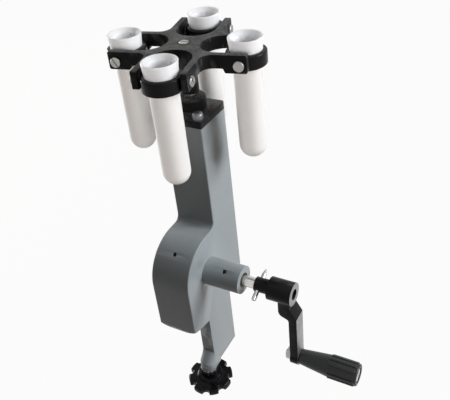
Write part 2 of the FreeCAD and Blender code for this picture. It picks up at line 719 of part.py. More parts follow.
def fork_slots(low_z, high_z):
    """U-shaped gaps that the rings swing in, with a round throat."""
    slots = []
    throat = rod(SLOT_HALF_WIDTH, Vector(SLOT_THROAT_CENTRE, 0, low_z),
                 Vector(SLOT_THROAT_CENTRE, 0, high_z))
    mouth = block(Vector(SLOT_THROAT_CENTRE, -SLOT_HALF_WIDTH, low_z),
                  Vector(PRONG_REACH + OVERSHOOT, SLOT_HALF_WIDTH, high_z))
    slot = throat.fuse(mouth)
    for index in range(BUCKET_COUNT):
        slots.append(turned_about(slot, Vector(), Z_AXIS, 90 * index))
    return slots


def spider_plate():
    """Top plate of the rotor: crossed arms with round corners between the forks."""
    arms = fork_arms()
    plate = arms[0].fuse(arms[1:]).removeSplitter()
    corner = SLOT_HALF_WIDTH + PRONG_THICKNESS
    inner = edges_where(plate, lambda p: near(abs(p.x), corner) and near(abs(p.y), corner))
    return plate.makeFillet(ARM_CORNER_RADIUS, inner)


def spider_lugs():
    """Deeper prong ends that carry the pivot screws."""
    low = SPIDER_BOTTOM_Z - LUG_DROP
    lugs = []
    half = SLOT_HALF_WIDTH + PRONG_THICKNESS
    for side in (-1, 1):
        corners = [
            (Vector(LUG_START - LUG_DROP / 2, 0, SPIDER_BOTTOM_Z + 1), 0),
            (Vector(LUG_START, 0, low), PRONG_END_ROUND),
            (Vector(PRONG_REACH, 0, low), PRONG_END_ROUND),
            (Vector(PRONG_REACH, 0, SPIDER_BOTTOM_Z + 1), 0),
        ]
        wire = rounded_wire(corners)
        wire.translate(Y_AXIS * (side * half - (PRONG_THICKNESS if side > 0 else 0)))
        lug = extruded(wire, Y_AXIS * PRONG_THICKNESS)
        lugs.extend(turned_about(lug, Vector(), Z_AXIS, 90 * index)
                    for index in range(BUCKET_COUNT))
    return lugs


def rotor_spider():
    low = SPIDER_BOTTOM_Z - LUG_DROP
    hub = rod(SPIDER_HUB_RADIUS, Z_AXIS * SPINDLE_SEAT_Z, Z_AXIS * SPIDER_TOP_Z)
    spider = spider_plate().fuse(spider_lugs())
    spider = spider.cut(fork_slots(low - OVERSHOOT, SPIDER_TOP_Z + OVERSHOOT))
    spider = spider.fuse(hub).removeSplitter()
    ends = edges_where(spider, lambda p: near(max(abs(p.x), abs(p.y)), PRONG_REACH)
                       and SPIDER_BOTTOM_Z < p.z)
    ends = [edge for edge in ends if near(edge.BoundBox.ZLength, 0)]
    spider = spider.makeChamfer(PRONG_END_ROUND / 2, ends)
    cuts = [
        rod(SPINDLE_NOSE_RADIUS, Z_AXIS * (SPINDLE_SEAT_Z - OVERSHOOT),
            Z_AXIS * (SPIDER_TOP_Z - SPINDLE_RADIUS)),
        rod(ROTOR_SCREW_RADIUS + RUNNING_FIT, Z_AXIS * SPINDLE_SEAT_Z, Z_AXIS * SPIDER_TOP_Z),
        rod(ROTOR_SCREW_HEAD_RADIUS + SEAT_GAP, Z_AXIS * (SPIDER_TOP_Z - ROTOR_SCREW_SINK),
            Z_AXIS * (SPIDER_TOP_Z + OVERSHOOT)),
    ]
    cuts.extend(pivot_places())
    spider = spider.cut(cuts)
    spider.rotate(Vector(), Z_AXIS, ROTOR_TURN_DEG)
    return spider.cut(rotor_pin())


def pivot_places():
    """Bars on the eight pivot screw axes, before the rotor is turned to its rest angle."""
    reach = SLOT_HALF_WIDTH + PRONG_THICKNESS + OVERSHOOT
    bars = []
    for index in range(BUCKET_COUNT):
        bar = rod(PIVOT_SHANK_RADIUS, Vector(BUCKET_CIRCLE, -reach, PIVOT_Z),
                  Vector(BUCKET_CIRCLE, reach, PIVOT_Z))
        bars.append(turned_about(bar, Vector(), Z_AXIS, 90 * index))
    return bars


def pivot_screw(side):
    """Slotted screw with a plain tip; side says which prong of the fork it is in."""
    prong_face = SLOT_HALF_WIDTH + PRONG_THICKNESS
    head_face = prong_face + PIVOT_HEAD_THICKNESS
    tip_end = RING_RADIUS - TRUNNION_HOLE_DEPTH + SEAT_GAP
    profile = [
        (0, tip_end),
        (PIVOT_TIP_RADIUS, tip_end),
        (PIVOT_TIP_RADIUS, SLOT_HALF_WIDTH),
        (PIVOT_SHANK_RADIUS, SLOT_HALF_WIDTH),
        (PIVOT_SHANK_RADIUS, prong_face),
        (PIVOT_HEAD_RADIUS, prong_face),
        (PIVOT_HEAD_RADIUS, head_face - SCREW_SLOT_WIDTH / 2),
        (PIVOT_HEAD_RADIUS - SCREW_SLOT_WIDTH / 2, head_face),
        (0, head_face),
    ]
    screw = turned(profile, Vector(BUCKET_CIRCLE, 0, PIVOT_Z), Y_AXIS * side, X_AXIS)
    centre = Vector(BUCKET_CIRCLE, side * head_face, PIVOT_Z)
    half = Vector(SCREW_SLOT_WIDTH / 2, SCREW_SLOT_DEPTH, PIVOT_HEAD_RADIUS)
    slot = block(centre - half, centre + half)
    return screw.cut(turned_about(slot, centre, Y_AXIS, PIVOT_SLOT_TURN_DEG * side))


def pivot_screws():
    screws = []
    for index in range(BUCKET_COUNT):
        for side in (-1, 1):
            turn = 90 * index + ROTOR_TURN_DEG
            screws.append(turned_about(pivot_screw(side), Vector(), Z_AXIS, turn))
    return Part.makeCompound(screws)


# Buckets

def trunnion_ring():
    profile = [
        (RING_BORE_RADIUS, RING_BOTTOM_Z),
        (RING_RADIUS - RING_EDGE_ROUND, RING_BOTTOM_Z),
        (RING_RADIUS, RING_BOTTOM_Z + RING_EDGE_ROUND),
        (RING_RADIUS, RING_TOP_Z - RING_EDGE_ROUND),
        (RING_RADIUS - RING_EDGE_ROUND, RING_TOP_Z),
        (RING_BORE_RADIUS, RING_TOP_Z),
    ]
    centre = X_AXIS * BUCKET_CIRCLE
    ring = turned(profile, centre, Z_AXIS, X_AXIS)
    hole_start = RING_RADIUS - TRUNNION_HOLE_DEPTH
    for side in (-1, 1):
        start = Vector(BUCKET_CIRCLE, side * hole_start, PIVOT_Z)
        end = Vector(BUCKET_CIRCLE, side * (RING_RADIUS + OVERSHOOT), PIVOT_Z)
        ring = ring.cut(rod(PIVOT_TIP_RADIUS + RUNNING_FIT, start, end))
    return ring


def tube_shield():
    """Plastic shield: funnel rim, collar that rests on the ring, round-ended body."""
    bottom_z = SHIELD_TOP_Z - SHIELD_LENGTH
    ball_z = bottom_z + SHIELD_RADIUS
    bore = SHIELD_RADIUS - SHIELD_WALL
    collar_top = RING_TOP_Z + SHIELD_COLLAR_HEIGHT
    funnel_z = SHIELD_TOP_Z - SHIELD_FUNNEL_DEPTH

    def place(radius, z):
        return Vector(BUCKET_CIRCLE + radius, 0, z)

    def ball(radius):
        reach = radius / math.sqrt(2)
        return place(reach, ball_z - reach)

    outside = [place(SHIELD_RADIUS, ball_z), place(SHIELD_RADIUS, RING_TOP_Z),
               place(SHIELD_COLLAR_RADIUS, RING_TOP_Z), place(SHIELD_COLLAR_RADIUS, collar_top),
               place(SHIELD_RIM_RADIUS, SHIELD_TOP_Z),
               place(SHIELD_RIM_RADIUS - SHIELD_RIM_WALL, SHIELD_TOP_Z),
               place(bore, funnel_z), place(bore, ball_z)]
    edges = [Part.Arc(place(0, bottom_z), ball(SHIELD_RADIUS), outside[0]).toShape()]
    edges.extend(Part.makeLine(first, second) for first, second in zip(outside, outside[1:]))
    floor = place(0, ball_z - bore)
    edges.append(Part.Arc(outside[-1], ball(bore), floor).toShape())
    edges.append(Part.makeLine(floor, place(0, bottom_z)))
    return Part.Face(Part.Wire(edges)).revolve(X_AXIS * BUCKET_CIRCLE, Z_AXIS, 360)


# Crank group

def crank_point(x, radial=0.0, up=0.0):
    return CRANK_CENTRE + X_AXIS * x + Y_AXIS * radial + Z_AXIS * up


def crank_shaft():
    tail_start = -CHAMBER_HALF_WIDTH - SIDE_GAP - SHAFT_TAIL_LENGTH
    shoulder = -CHAMBER_HALF_WIDTH
    tail = rod(SHAFT_TAIL_RADIUS, crank_point(tail_start), crank_point(shoulder))
    shaft = rod(SHAFT_RADIUS, crank_point(shoulder), crank_point(SHAFT_END_X))
    end_edges = edges_where(shaft, lambda p: near(p.x, SHAFT_END_X))
    shaft = shaft.makeChamfer(SEAT_GAP * 3, end_edges)
    return shaft.fuse(tail).cut([gear_key(), drive_pin()]).removeSplitter()


def gear_key():
    low = crank_point(-KEY_LENGTH / 2, -KEY_WIDTH / 2, SHAFT_RADIUS - KEY_SINK)
    high = crank_point(KEY_LENGTH / 2, KEY_WIDTH / 2, SHAFT_RADIUS - KEY_SINK + KEY_HEIGHT)
    return block(low, high)


def gear_wheel():
    hub_half = CHAMBER_HALF_WIDTH - SIDE_GAP
    hub = rod(WHEEL_HUB_RADIUS, crank_point(-hub_half), crank_point(hub_half))
    wheel = wheel_teeth().fuse(hub)
    bore = rod(SHAFT_RADIUS, crank_point(-CHAMBER_HALF_WIDTH), crank_point(CHAMBER_HALF_WIDTH))
    return wheel.cut([bore, gear_key()])


def inner_crank_bush():
    start = crank_point(CHAMBER_HALF_WIDTH)
    return bush(CRANK_BUSH_RADIUS, SHAFT_RADIUS + RUNNING_FIT, start,
                start + X_AXIS * INNER_BUSH_LENGTH)


def outer_crank_bush():
    end = crank_point(BOSS_END_X)
    return bush(CRANK_BUSH_RADIUS, SHAFT_RADIUS + RUNNING_FIT,
                end - X_AXIS * OUTER_BUSH_LENGTH, end)


def drive_pin():
    """Taper-ended pin through the crank's neck and the shaft."""
    angle = math.radians(DRIVE_PIN_TURN_DEG)
    along = Vector(0, math.cos(angle), math.sin(angle))
    half = DRIVE_PIN_LENGTH / 2
    profile = [
        (0, -half),
        (DRIVE_PIN_RADIUS - DRIVE_PIN_TIP_RADIUS, -half),
        (DRIVE_PIN_RADIUS, DRIVE_PIN_TIP_RADIUS - half),
        (DRIVE_PIN_RADIUS, half - DRIVE_PIN_POINT),
        (DRIVE_PIN_TIP_RADIUS, half),
        (0, half),
    ]
    return turned(profile, crank_point(DRIVE_PIN_X), along, X_AXIS)


def crank_arm():
    """Neck, hub, gusset and flat arm in one casting, with an eye for the handle bolt."""
    neck = rod(NECK_RADIUS, crank_point(NECK_START_X), crank_point(CRANK_HUB_START_X))
    hub = rod(CRANK_HUB_RADIUS, crank_point(CRANK_HUB_START_X), crank_point(CRANK_HUB_END_X))
    eye_z = -CRANK_THROW
    arm_foot = eye_z - ARM_EYE_RADIUS
    shoulder_z = -ARM_SHOULDER_DROP
    gusset_z = -GUSSET_DROP
    corners = [
        (crank_point(GUSSET_BACK_X), 0),
        (crank_point(GUSSET_BACK_X, 0, gusset_z), GUSSET_ROUND),
        (crank_point(ARM_BACK_X, 0, gusset_z - GUSSET_STEP), GUSSET_INNER_ROUND),
        (crank_point(ARM_BACK_X, 0, arm_foot), 0),
        (crank_point(ARM_FACE_X, 0, arm_foot), 0),
        (crank_point(ARM_FACE_X, 0, shoulder_z), GUSSET_INNER_ROUND / 2),
        (crank_point(ARM_SHOULDER_X, 0, shoulder_z + ARM_SHOULDER_RISE), 0),
        (crank_point(ARM_SHOULDER_X), 0),
    ]
    side_view = rounded_wire(corners)
    side_view.translate(Y_AXIS * -ARM_EYE_RADIUS)
    slab = extruded(side_view, Y_AXIS * (2 * ARM_EYE_RADIUS))
    bar = block(crank_point(GUSSET_BACK_X, -ARM_WIDTH / 2, eye_z),
                crank_point(ARM_FACE_X, ARM_WIDTH / 2, 0))
    eye = rod(ARM_EYE_RADIUS, crank_point(ARM_BACK_X, 0, eye_z), crank_point(ARM_FACE_X, 0, eye_z))
    arm = slab.common(bar.fuse(eye))
    arm = arm.fuse([neck, hub]).removeSplitter()
    bore = rod(SHAFT_RADIUS, crank_point(NECK_START_X - OVERSHOOT),
               crank_point(CRANK_HUB_END_X + OVERSHOOT))
    bolt_hole = rod(HANDLE_BOLT_RADIUS, crank_point(ARM_BACK_X - OVERSHOOT, 0, eye_z),
                    crank_point(ARM_FACE_X + OVERSHOOT, 0, eye_z))
    return arm.cut([bore, bolt_hole, drive_pin()])


def handle_bolt():
    start = ARM_BACK_X - HANDLE_NUT_HEIGHT - NUT_STAND_OUT
    head_end = GRIP_END_X - HANDLE_BOLT_SINK
    head_start = head_end - HANDLE_BOLT_HEAD
    shank = rod(HANDLE_BOLT_RADIUS, crank_point(start, 0, -CRANK_THROW),
                crank_point(head_start, 0, -CRANK_THROW))
    head = rod(HANDLE_BOLT_HEAD_RADIUS, crank_point(head_start, 0, -CRANK_THROW),
               crank_point(head_end, 0, -CRANK_THROW))
    head = head.makeChamfer(SCREW_SLOT_WIDTH / 2, edges_where(head, lambda p: near(p.x, head_end)))
    centre = crank_point(head_end, 0, -CRANK_THROW)
    half = Vector(SCREW_SLOT_DEPTH, SCREW_SLOT_WIDTH / 2, HANDLE_BOLT_HEAD_RADIUS)
    return shank.fuse(head).cut(block(centre - half, centre + half)).removeSplitter()


def handle_nut():
    start = crank_point(ARM_BACK_X - HANDLE_NUT_HEIGHT, 0, -CRANK_THROW)
    corner = HANDLE_NUT_ACROSS_FLATS / math.sqrt(3)
    points = []
    for index in range(6):
        angle = math.radians(60 * index)
        points.append(start + Y_AXIS * corner * math.cos(angle) + Z_AXIS * corner * math.sin(angle))
    nut = extruded(Part.makePolygon(points + [points[0]]), X_AXIS * HANDLE_NUT_HEIGHT)
    small_radius = corner - NUT_CHAMFER
    crown = Part.makeCone(small_radius, small_radius + HANDLE_NUT_HEIGHT, HANDLE_NUT_HEIGHT,
                          start, X_AXIS)
    hole = rod(HANDLE_BOLT_RADIUS, start, start + X_AXIS * HANDLE_NUT_HEIGHT)
    return nut.common(crown).cut(hole)


def handle_grip():
    """Tapered plastic grip that turns on its bolt, with long ribs on its outer part."""
    centre = crank_point(0, 0, -CRANK_THROW)
    start = ARM_FACE_X + SIDE_GAP
    profile = [
        (0, start),
        (GRIP_START_RADIUS - SIDE_GAP, start),
        (GRIP_START_RADIUS, start + SIDE_GAP),
        (GRIP_CONE_RADIUS, GRIP_SHOULDER_X),
        (GRIP_RADIUS, GRIP_SHOULDER_X + GRIP_SHOULDER_LENGTH),
        (GRIP_RADIUS, GRIP_END_X - GRIP_END_CHAMFER),
        (GRIP_RADIUS - GRIP_END_CHAMFER, GRIP_END_X),
        (0, GRIP_END_X),
    ]
    grip = turned(profile, centre, X_AXIS, Y_AXIS)
    grooves = []
    for index in range(GRIP_RIB_COUNT):
        angle = 2 * math.pi * (index + 0.5) / GRIP_RIB_COUNT
        out = Y_AXIS * math.cos(angle) + Z_AXIS * math.sin(angle)
        line = centre + out * (GRIP_RADIUS + GRIP_GROOVE_OFFSET)
        groove_start = line + X_AXIS * (GRIP_SHOULDER_X - GRIP_SHOULDER_LENGTH)
        groove_end = line + X_AXIS * (GRIP_END_X - 2 * GRIP_END_CHAMFER)
        grooves.append(rod(GRIP_GROOVE_RADIUS, groove_start, groove_end))
    head_pocket = GRIP_END_X - HANDLE_BOLT_SINK - HANDLE_BOLT_HEAD - SIDE_GAP
    cuts = grooves + [
        rod(HANDLE_BOLT_RADIUS + RUNNING_FIT, crank_point(start, 0, -CRANK_THROW),
            crank_point(GRIP_END_X, 0, -CRANK_THROW)),
        rod(HANDLE_BOLT_HEAD_RADIUS + SIDE_GAP, crank_point(head_pocket, 0, -CRANK_THROW),
            crank_point(GRIP_END_X + OVERSHOOT, 0, -CRANK_THROW)),
    ]
    return grip.cut(cuts)


# Bench clamp

def stud_point(z):
    return Vector(0, STUD_Y, z)


def clamp_stud():
    return rod(STUD_RADIUS, stud_point(STUD_BOTTOM_Z), stud_point(STUD_BOTTOM_Z + STUD_LENGTH))


def clamp_washer():
    return bush(WASHER_RADIUS, STUD_RADIUS + SIDE_GAP, stud_point(KNOB_HUB_TOP_Z),
                stud_point(-SEAT_GAP))


def star_knob():
    profile = [
        (0, KNOB_BOTTOM_Z),
        (KNOB_RADIUS - KNOB_EDGE_ROUND, KNOB_BOTTOM_Z),
        (KNOB_RADIUS, KNOB_BOTTOM_Z + KNOB_EDGE_ROUND),
        (KNOB_RADIUS, KNOB_DISC_TOP_Z - KNOB_EDGE_ROUND),
        (KNOB_RADIUS - KNOB_EDGE_ROUND, KNOB_DISC_TOP_Z),
        (KNOB_SHOULDER_RADIUS + KNOB_EDGE_ROUND, KNOB_DISC_TOP_Z),
        (KNOB_SHOULDER_RADIUS, KNOB_DISC_TOP_Z + KNOB_EDGE_ROUND),
        (KNOB_SHOULDER_RADIUS - KNOB_EDGE_ROUND, KNOB_STEP_Z),
        (KNOB_HUB_RADIUS, KNOB_STEP_Z),
        (KNOB_HUB_RADIUS, KNOB_HUB_TOP_Z - KNOB_EDGE_ROUND),
        (KNOB_HUB_RADIUS - KNOB_EDGE_ROUND, KNOB_HUB_TOP_Z),
        (0, KNOB_HUB_TOP_Z),
    ]
    knob = turned(profile, stud_point(0), Z_AXIS, X_AXIS)
    cuts = [clamp_stud()]
    for index in range(KNOB_LOBES):
        angle = math.radians(KNOB_PHASE_DEG + 360.0 * index / KNOB_LOBES)
        centre = stud_point(0) + Vector(math.cos(angle), math.sin(angle), 0) * KNOB_NOTCH_CENTRE
        cuts.append(rod(KNOB_NOTCH_RADIUS, centre + Z_AXIS * (KNOB_BOTTOM_Z - OVERSHOOT),
                        centre + Z_AXIS * (KNOB_DISC_TOP_Z + OVERSHOOT)))
    return knob.cut(cuts)


# Assembly

def sub_parts():
    """Every node's name and solid, placed at rest."""
    parts = {
        "body_casting": body_casting(),
        "gear_cover": gear_cover(),
        "gear_cover_screws": gear_cover_screws(),
        "bearing_cap": bearing_cap(),
        "cap_grub_screws": cap_grub_screws(),
        "upper_spindle_bush": upper_spindle_bush(),
        "lower_spindle_bush": lower_spindle_bush(),
        "thrust_ball": thrust_ball(),
        "inner_crank_bush": inner_crank_bush(),
        "outer_crank_bush": outer_crank_bush(),
        "spindle": spindle(),
        "worm": worm(),
        "worm_pin": worm_pin(),
        "rotor_spider": rotor_spider(),
        "rotor_screw": rotor_screw(),
        "rotor_pin": rotor_pin(),
        "pivot_screws": pivot_screws(),
        "crank_shaft": crank_shaft(),
        "gear_wheel": gear_wheel(),
        "gear_key": gear_key(),
        "crank_arm": crank_arm(),
        "drive_pin": drive_pin(),
        "handle_bolt": handle_bolt(),
        "handle_nut": handle_nut(),
        "handle_grip": handle_grip(),
        "clamp_washer": clamp_washer(),
        "clamp_stud": clamp_stud(),
        "star_knob": star_knob(),
    }
    ring = trunnion_ring()
    shield = tube_shield()
    for index in range(BUCKET_COUNT):
        turn = ROTOR_TURN_DEG + 90 * index
        parts[f"trunnion_ring_{index + 1}"] = turned_about(ring, Vector(), Z_AXIS, turn)
        parts[f"tube_shield_{index + 1}"] = turned_about(shield, Vector(), Z_AXIS, turn)
    return parts


os.makedirs("parts", exist_ok=True)
for name, shape in sub_parts().items():
    print(name, "solids", len(shape.Solids), "volume", round(shape.Volume), "valid", shape.isValid())
    shape.exportStep(f"parts/{name}.step")
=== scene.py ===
import math

import bmesh
import bpy
from bpy.props import FloatProperty, FloatVectorProperty, IntProperty, PointerProperty
from mathutils import Matrix, Vector


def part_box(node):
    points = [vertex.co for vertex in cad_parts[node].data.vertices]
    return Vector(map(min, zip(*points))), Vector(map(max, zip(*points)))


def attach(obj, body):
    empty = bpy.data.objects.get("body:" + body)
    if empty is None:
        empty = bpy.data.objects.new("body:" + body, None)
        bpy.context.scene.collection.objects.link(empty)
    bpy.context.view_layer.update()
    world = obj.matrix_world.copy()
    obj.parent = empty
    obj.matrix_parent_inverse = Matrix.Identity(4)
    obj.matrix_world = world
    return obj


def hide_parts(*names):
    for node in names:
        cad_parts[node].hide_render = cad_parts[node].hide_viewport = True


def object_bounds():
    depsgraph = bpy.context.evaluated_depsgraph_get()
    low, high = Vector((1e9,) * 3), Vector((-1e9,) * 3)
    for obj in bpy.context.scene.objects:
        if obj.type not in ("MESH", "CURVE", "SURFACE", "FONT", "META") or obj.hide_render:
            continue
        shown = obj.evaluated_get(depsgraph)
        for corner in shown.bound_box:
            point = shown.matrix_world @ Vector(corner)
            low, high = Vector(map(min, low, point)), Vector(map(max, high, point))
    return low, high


bl_info = {
    "name": "Hand centrifuge dressing",
    "version": (1, 0, 0),
    "blender": (4, 5, 0),
    "location": "View3D > Sidebar > Centrifuge",
    "description": "Finishes, softened edges and studio for a hand crank centrifuge",
    "category": "Object",
}

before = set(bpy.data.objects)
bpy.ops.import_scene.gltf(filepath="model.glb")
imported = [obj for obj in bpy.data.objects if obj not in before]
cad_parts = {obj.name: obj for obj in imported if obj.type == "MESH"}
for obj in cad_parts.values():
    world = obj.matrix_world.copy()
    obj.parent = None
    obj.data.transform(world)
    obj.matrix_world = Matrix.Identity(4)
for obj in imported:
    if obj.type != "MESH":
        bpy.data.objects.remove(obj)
cad_bounds = [list(map(float, corner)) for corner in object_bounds()]

MM = 0.001
X_AXIS = Vector((1, 0, 0))
Y_AXIS = Vector((0, 1, 0))
BUCKETS = (1, 2, 3, 4)
QUARTER_TURN = math.pi / 2
FULL_TURN = 2 * math.pi
KNOB_TRAVEL = 10 * MM


def box_centre(node):
    low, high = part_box(node)
    return (low + high) / 2


RING_AXES = [box_centre(f"trunnion_ring_{bucket}") for bucket in BUCKETS]
RING_LOW, RING_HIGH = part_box("trunnion_ring_1")
SHIELD_LOW, SHIELD_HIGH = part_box("tube_shield_1")
CRANK_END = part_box("crank_shaft")[1].x
GRIP_LOW, GRIP_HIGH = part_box("handle_grip")
GRIP_LENGTH = GRIP_HIGH.x - GRIP_LOW.x
GRIP_RADIUS = (GRIP_HIGH.z - GRIP_LOW.z) / 2
BOLT_LOW, BOLT_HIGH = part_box("handle_bolt")
KNOB_LOW, KNOB_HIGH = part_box("star_knob")
STUD_LOW, STUD_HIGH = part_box("clamp_stud")
PIVOT_CIRCLE = math.hypot(RING_AXES[0].x, RING_AXES[0].y)
ROTOR_TURN = math.atan2(RING_AXES[0].y, RING_AXES[0].x)


# Settings that a user would change

class FinishSettings(bpy.types.PropertyGroup):
    body_grey: FloatVectorProperty(
        name="Body enamel", description="Colour of the casting's grey enamel",
        subtype="COLOR", size=3, min=0, max=1, default=(0.325, 0.36, 0.375))
    arm_black: FloatVectorProperty(
        name="Gloss black", description="Colour of the rings' and crank's enamel",
        subtype="COLOR", size=3, min=0, max=1, default=(0.012, 0.012, 0.013))
    rotor_black: FloatVectorProperty(
        name="Satin black", description="Colour of the rotor's and bearing cap's enamel",
        subtype="COLOR", size=3, min=0, max=1, default=(0.016, 0.016, 0.018))
    shield_white: FloatVectorProperty(
        name="Shield white", description="Colour of the moulded tube shields",
        subtype="COLOR", size=3, min=0, max=1, default=(0.92, 0.905, 0.885))
    nickel: FloatVectorProperty(
        name="Nickel", description="Colour of the plated screws",
        subtype="COLOR", size=3, min=0, max=1, default=(0.42, 0.41, 0.385))


class SizeSettings(bpy.types.PropertyGroup):
    casting_edge: FloatProperty(
        name="Casting edge", description="Width of the softened edges on the casting",
        unit="LENGTH", min=0, default=0.5 * MM)
    rotor_edge: FloatProperty(
        name="Rotor edge", description="Width of the softened edges on the rotor",
        unit="LENGTH", min=0, default=0.8 * MM)
    crank_edge: FloatProperty(
        name="Crank edge", description="Width of the softened edges on the crank arm",
        unit="LENGTH", min=0, default=0.9 * MM)
    round_steps: IntProperty(
        name="Round steps", description="Segments around each turned piece", min=24, default=96)
    grip_ribs: IntProperty(
        name="Grip ribs", description="Long ribs around the handle grip", min=3, default=12)
    knob_lobes: IntProperty(
        name="Knob lobes", description="Lobes around the star knob", min=3, default=8)
    thread_pitch: FloatProperty(
        name="Thread pitch", description="Pitch of the clamp stud's thread",
        unit="LENGTH", min=0.2 * MM, default=1.25 * MM)


class StageSettings(bpy.types.PropertyGroup):
    lens: FloatProperty(
        name="Lens", description="Focal length of the camera, in millimetres",
        subtype="DISTANCE_CAMERA", min=10, default=50.65)
    key_power: FloatProperty(
        name="Key lamp", description="Power of the large lamp on the crank's side",
        subtype="POWER", min=0, default=20)
    fill_power: FloatProperty(
        name="Fill lamp", description="Power of the weaker lamp on the cover's side",
        subtype="POWER", min=0, default=16)
    front_power: FloatProperty(
        name="Front lamp", description="Power of the lamp that lifts the tube shields' fronts",
        subtype="POWER", min=0, default=8)
    sky: FloatProperty(
        name="Sky", description="Strength of the even light from all round", min=0, default=0.07)


def finish_settings():
    return bpy.context.scene.centrifuge_finish


def size_settings():
    return bpy.context.scene.centrifuge_size


def stage_settings():
    return bpy.context.scene.centrifuge_stage


# Shader groups

def shader_group(name, inputs, outputs):
    """New shader group with named float inputs and typed outputs, and its two end nodes."""
    tree = bpy.data.node_groups.new(name, "ShaderNodeTree")
    for label, value in inputs.items():
        socket = tree.interface.new_socket(name=label, in_out="INPUT", socket_type="NodeSocketFloat")
        socket.default_value = value
    for label, kind in outputs.items():
        tree.interface.new_socket(name=label, in_out="OUTPUT", socket_type=kind)
    return tree, tree.nodes.new("NodeGroupInput"), tree.nodes.new("NodeGroupOutput")


def feed(tree, value, socket):
    """Links an output to a socket, or sets the socket to a number or a colour."""
    if isinstance(value, bpy.types.NodeSocket):
        tree.links.new(value, socket)
    else:
        socket.default_value = value


def math_node(tree, operation, first, second):
    """Math node with sockets or numbers as its two values; returns its output."""
    node = tree.nodes.new("ShaderNodeMath")
    node.operation = operation
    feed(tree, first, node.inputs[0])
    feed(tree, second, node.inputs[1])
    return node.outputs[0]


def noise(tree, scale, detail):
    """Noise on the object's own coordinates, with its scale from a socket."""
    place = tree.nodes.new("ShaderNodeTexCoord")
    pattern = tree.nodes.new("ShaderNodeTexNoise")
    pattern.inputs["Detail"].default_value = detail
    tree.links.new(place.outputs["Object"], pattern.inputs["Vector"])
    tree.links.new(scale, pattern.inputs["Scale"])
    return pattern.outputs["Fac"]


def ramp(tree, value, low, high):
    """Value taken from low..high to 0..1 with soft ends, held at both."""
    node = tree.nodes.new("ShaderNodeMapRange")
    node.interpolation_type = "SMOOTHSTEP"
    tree.links.new(value, node.inputs["Value"])
    feed(tree, low, node.inputs["From Min"])
    feed(tree, high, node.inputs["From Max"])
    return node.outputs["Result"]


def build_mottle_group():
    """Broad and fine cloudiness, 0 to 1, for colour and sheen that vary over a surface."""
    tree, given, out = shader_group("Mottle", {"Broad": 18.0, "Fine": 160.0}, {"Value": "NodeSocketFloat"})
    broad = noise(tree, given.outputs["Broad"], detail=2.0)
    fine = noise(tree, given.outputs["Fine"], detail=4.0)
    broad_share = 0.6
    total = math_node(tree, "ADD", math_node(tree, "MULTIPLY", broad, broad_share),
                      math_node(tree, "MULTIPLY", fine, 1 - broad_share))
    tree.links.new(ramp(tree, total, low=0.35, high=0.65), out.inputs["Value"])


def build_enamel_group():
    """Height of sprayed enamel: flow waves with a fine grain on top."""
    tree, given, out = shader_group("Enamel skin", {"Wave": 260.0, "Grain": 1500.0, "Grain Share": 0.35},
                                    {"Height": "NodeSocketFloat"})
    wave = noise(tree, given.outputs["Wave"], detail=1.0)
    grain = noise(tree, given.outputs["Grain"], detail=2.0)
    grain = math_node(tree, "MULTIPLY", grain, given.outputs["Grain Share"])
    tree.links.new(math_node(tree, "ADD", wave, grain), out.inputs["Height"])


def build_wear_group():
    """Mask of rubbed edges: convex edges broken up by noise."""
    tree, given, out = shader_group("Rubbed edges", {"Start": 0.53, "Break Up": 90.0, "Amount": 1.0},
                                    {"Mask": "NodeSocketFloat"})
    geometry = tree.nodes.new("ShaderNodeNewGeometry")
    blend = 0.06
    full = math_node(tree, "ADD", given.outputs["Start"], blend)
    edge = ramp(tree, geometry.outputs["Pointiness"], low=given.outputs["Start"], high=full)
    patches = ramp(tree, noise(tree, given.outputs["Break Up"], detail=4.0), low=0.48, high=0.62)
    mask = math_node(tree, "MULTIPLY", edge, patches)
    tree.links.new(math_node(tree, "MULTIPLY", mask, given.outputs["Amount"]), out.inputs["Mask"])


def build_dust_and_top_light_group():
    """Mask of dust on faces that look up; with a larger amount it is painted light, a lighter top where
    light from above falls.
    """
    tree, given, out = shader_group("Settled dust", {"Amount": 0.3, "Clumps": 420.0},
                                    {"Mask": "NodeSocketFloat"})
    geometry = tree.nodes.new("ShaderNodeNewGeometry")
    parts = tree.nodes.new("ShaderNodeSeparateXYZ")
    tree.links.new(geometry.outputs["Normal"], parts.inputs[0])
    upward = ramp(tree, parts.outputs["Z"], low=0.35, high=1.0)
    clumps = ramp(tree, noise(tree, given.outputs["Clumps"], detail=3.0), low=0.1, high=0.65)
    mask = math_node(tree, "MULTIPLY", upward, clumps)
    tree.links.new(math_node(tree, "MULTIPLY", mask, given.outputs["Amount"]), out.inputs["Mask"])


def build_turning_group():
    """Height and tone of fine machining marks, drawn out along X and Y when Along is small."""
    tree, given, out = shader_group("Machining marks", {"Scale": 900.0, "Along": 0.06},
                                    {"Height": "NodeSocketFloat", "Tone": "NodeSocketFloat"})
    place = tree.nodes.new("ShaderNodeTexCoord")
    split = tree.nodes.new("ShaderNodeSeparateXYZ")
    joined = tree.nodes.new("ShaderNodeCombineXYZ")
    tree.links.new(place.outputs["Object"], split.inputs[0])
    for axis in ("X", "Y"):
        drawn_out = math_node(tree, "MULTIPLY", split.outputs[axis], given.outputs["Along"])
        tree.links.new(drawn_out, joined.inputs[axis])
    tree.links.new(split.outputs["Z"], joined.inputs["Z"])
    pattern = tree.nodes.new("ShaderNodeTexNoise")
    tree.links.new(joined.outputs[0], pattern.inputs["Vector"])
    tree.links.new(given.outputs["Scale"], pattern.inputs["Scale"])
    tree.links.new(pattern.outputs["Fac"], out.inputs["Height"])
    tree.links.new(ramp(tree, pattern.outputs["Fac"], low=0.3, high=0.7), out.inputs["Tone"])


def build_shader_groups():
    build_mottle_group()
    build_enamel_group()
    build_wear_group()
    build_dust_and_top_light_group()
    build_turning_group()


# Materials

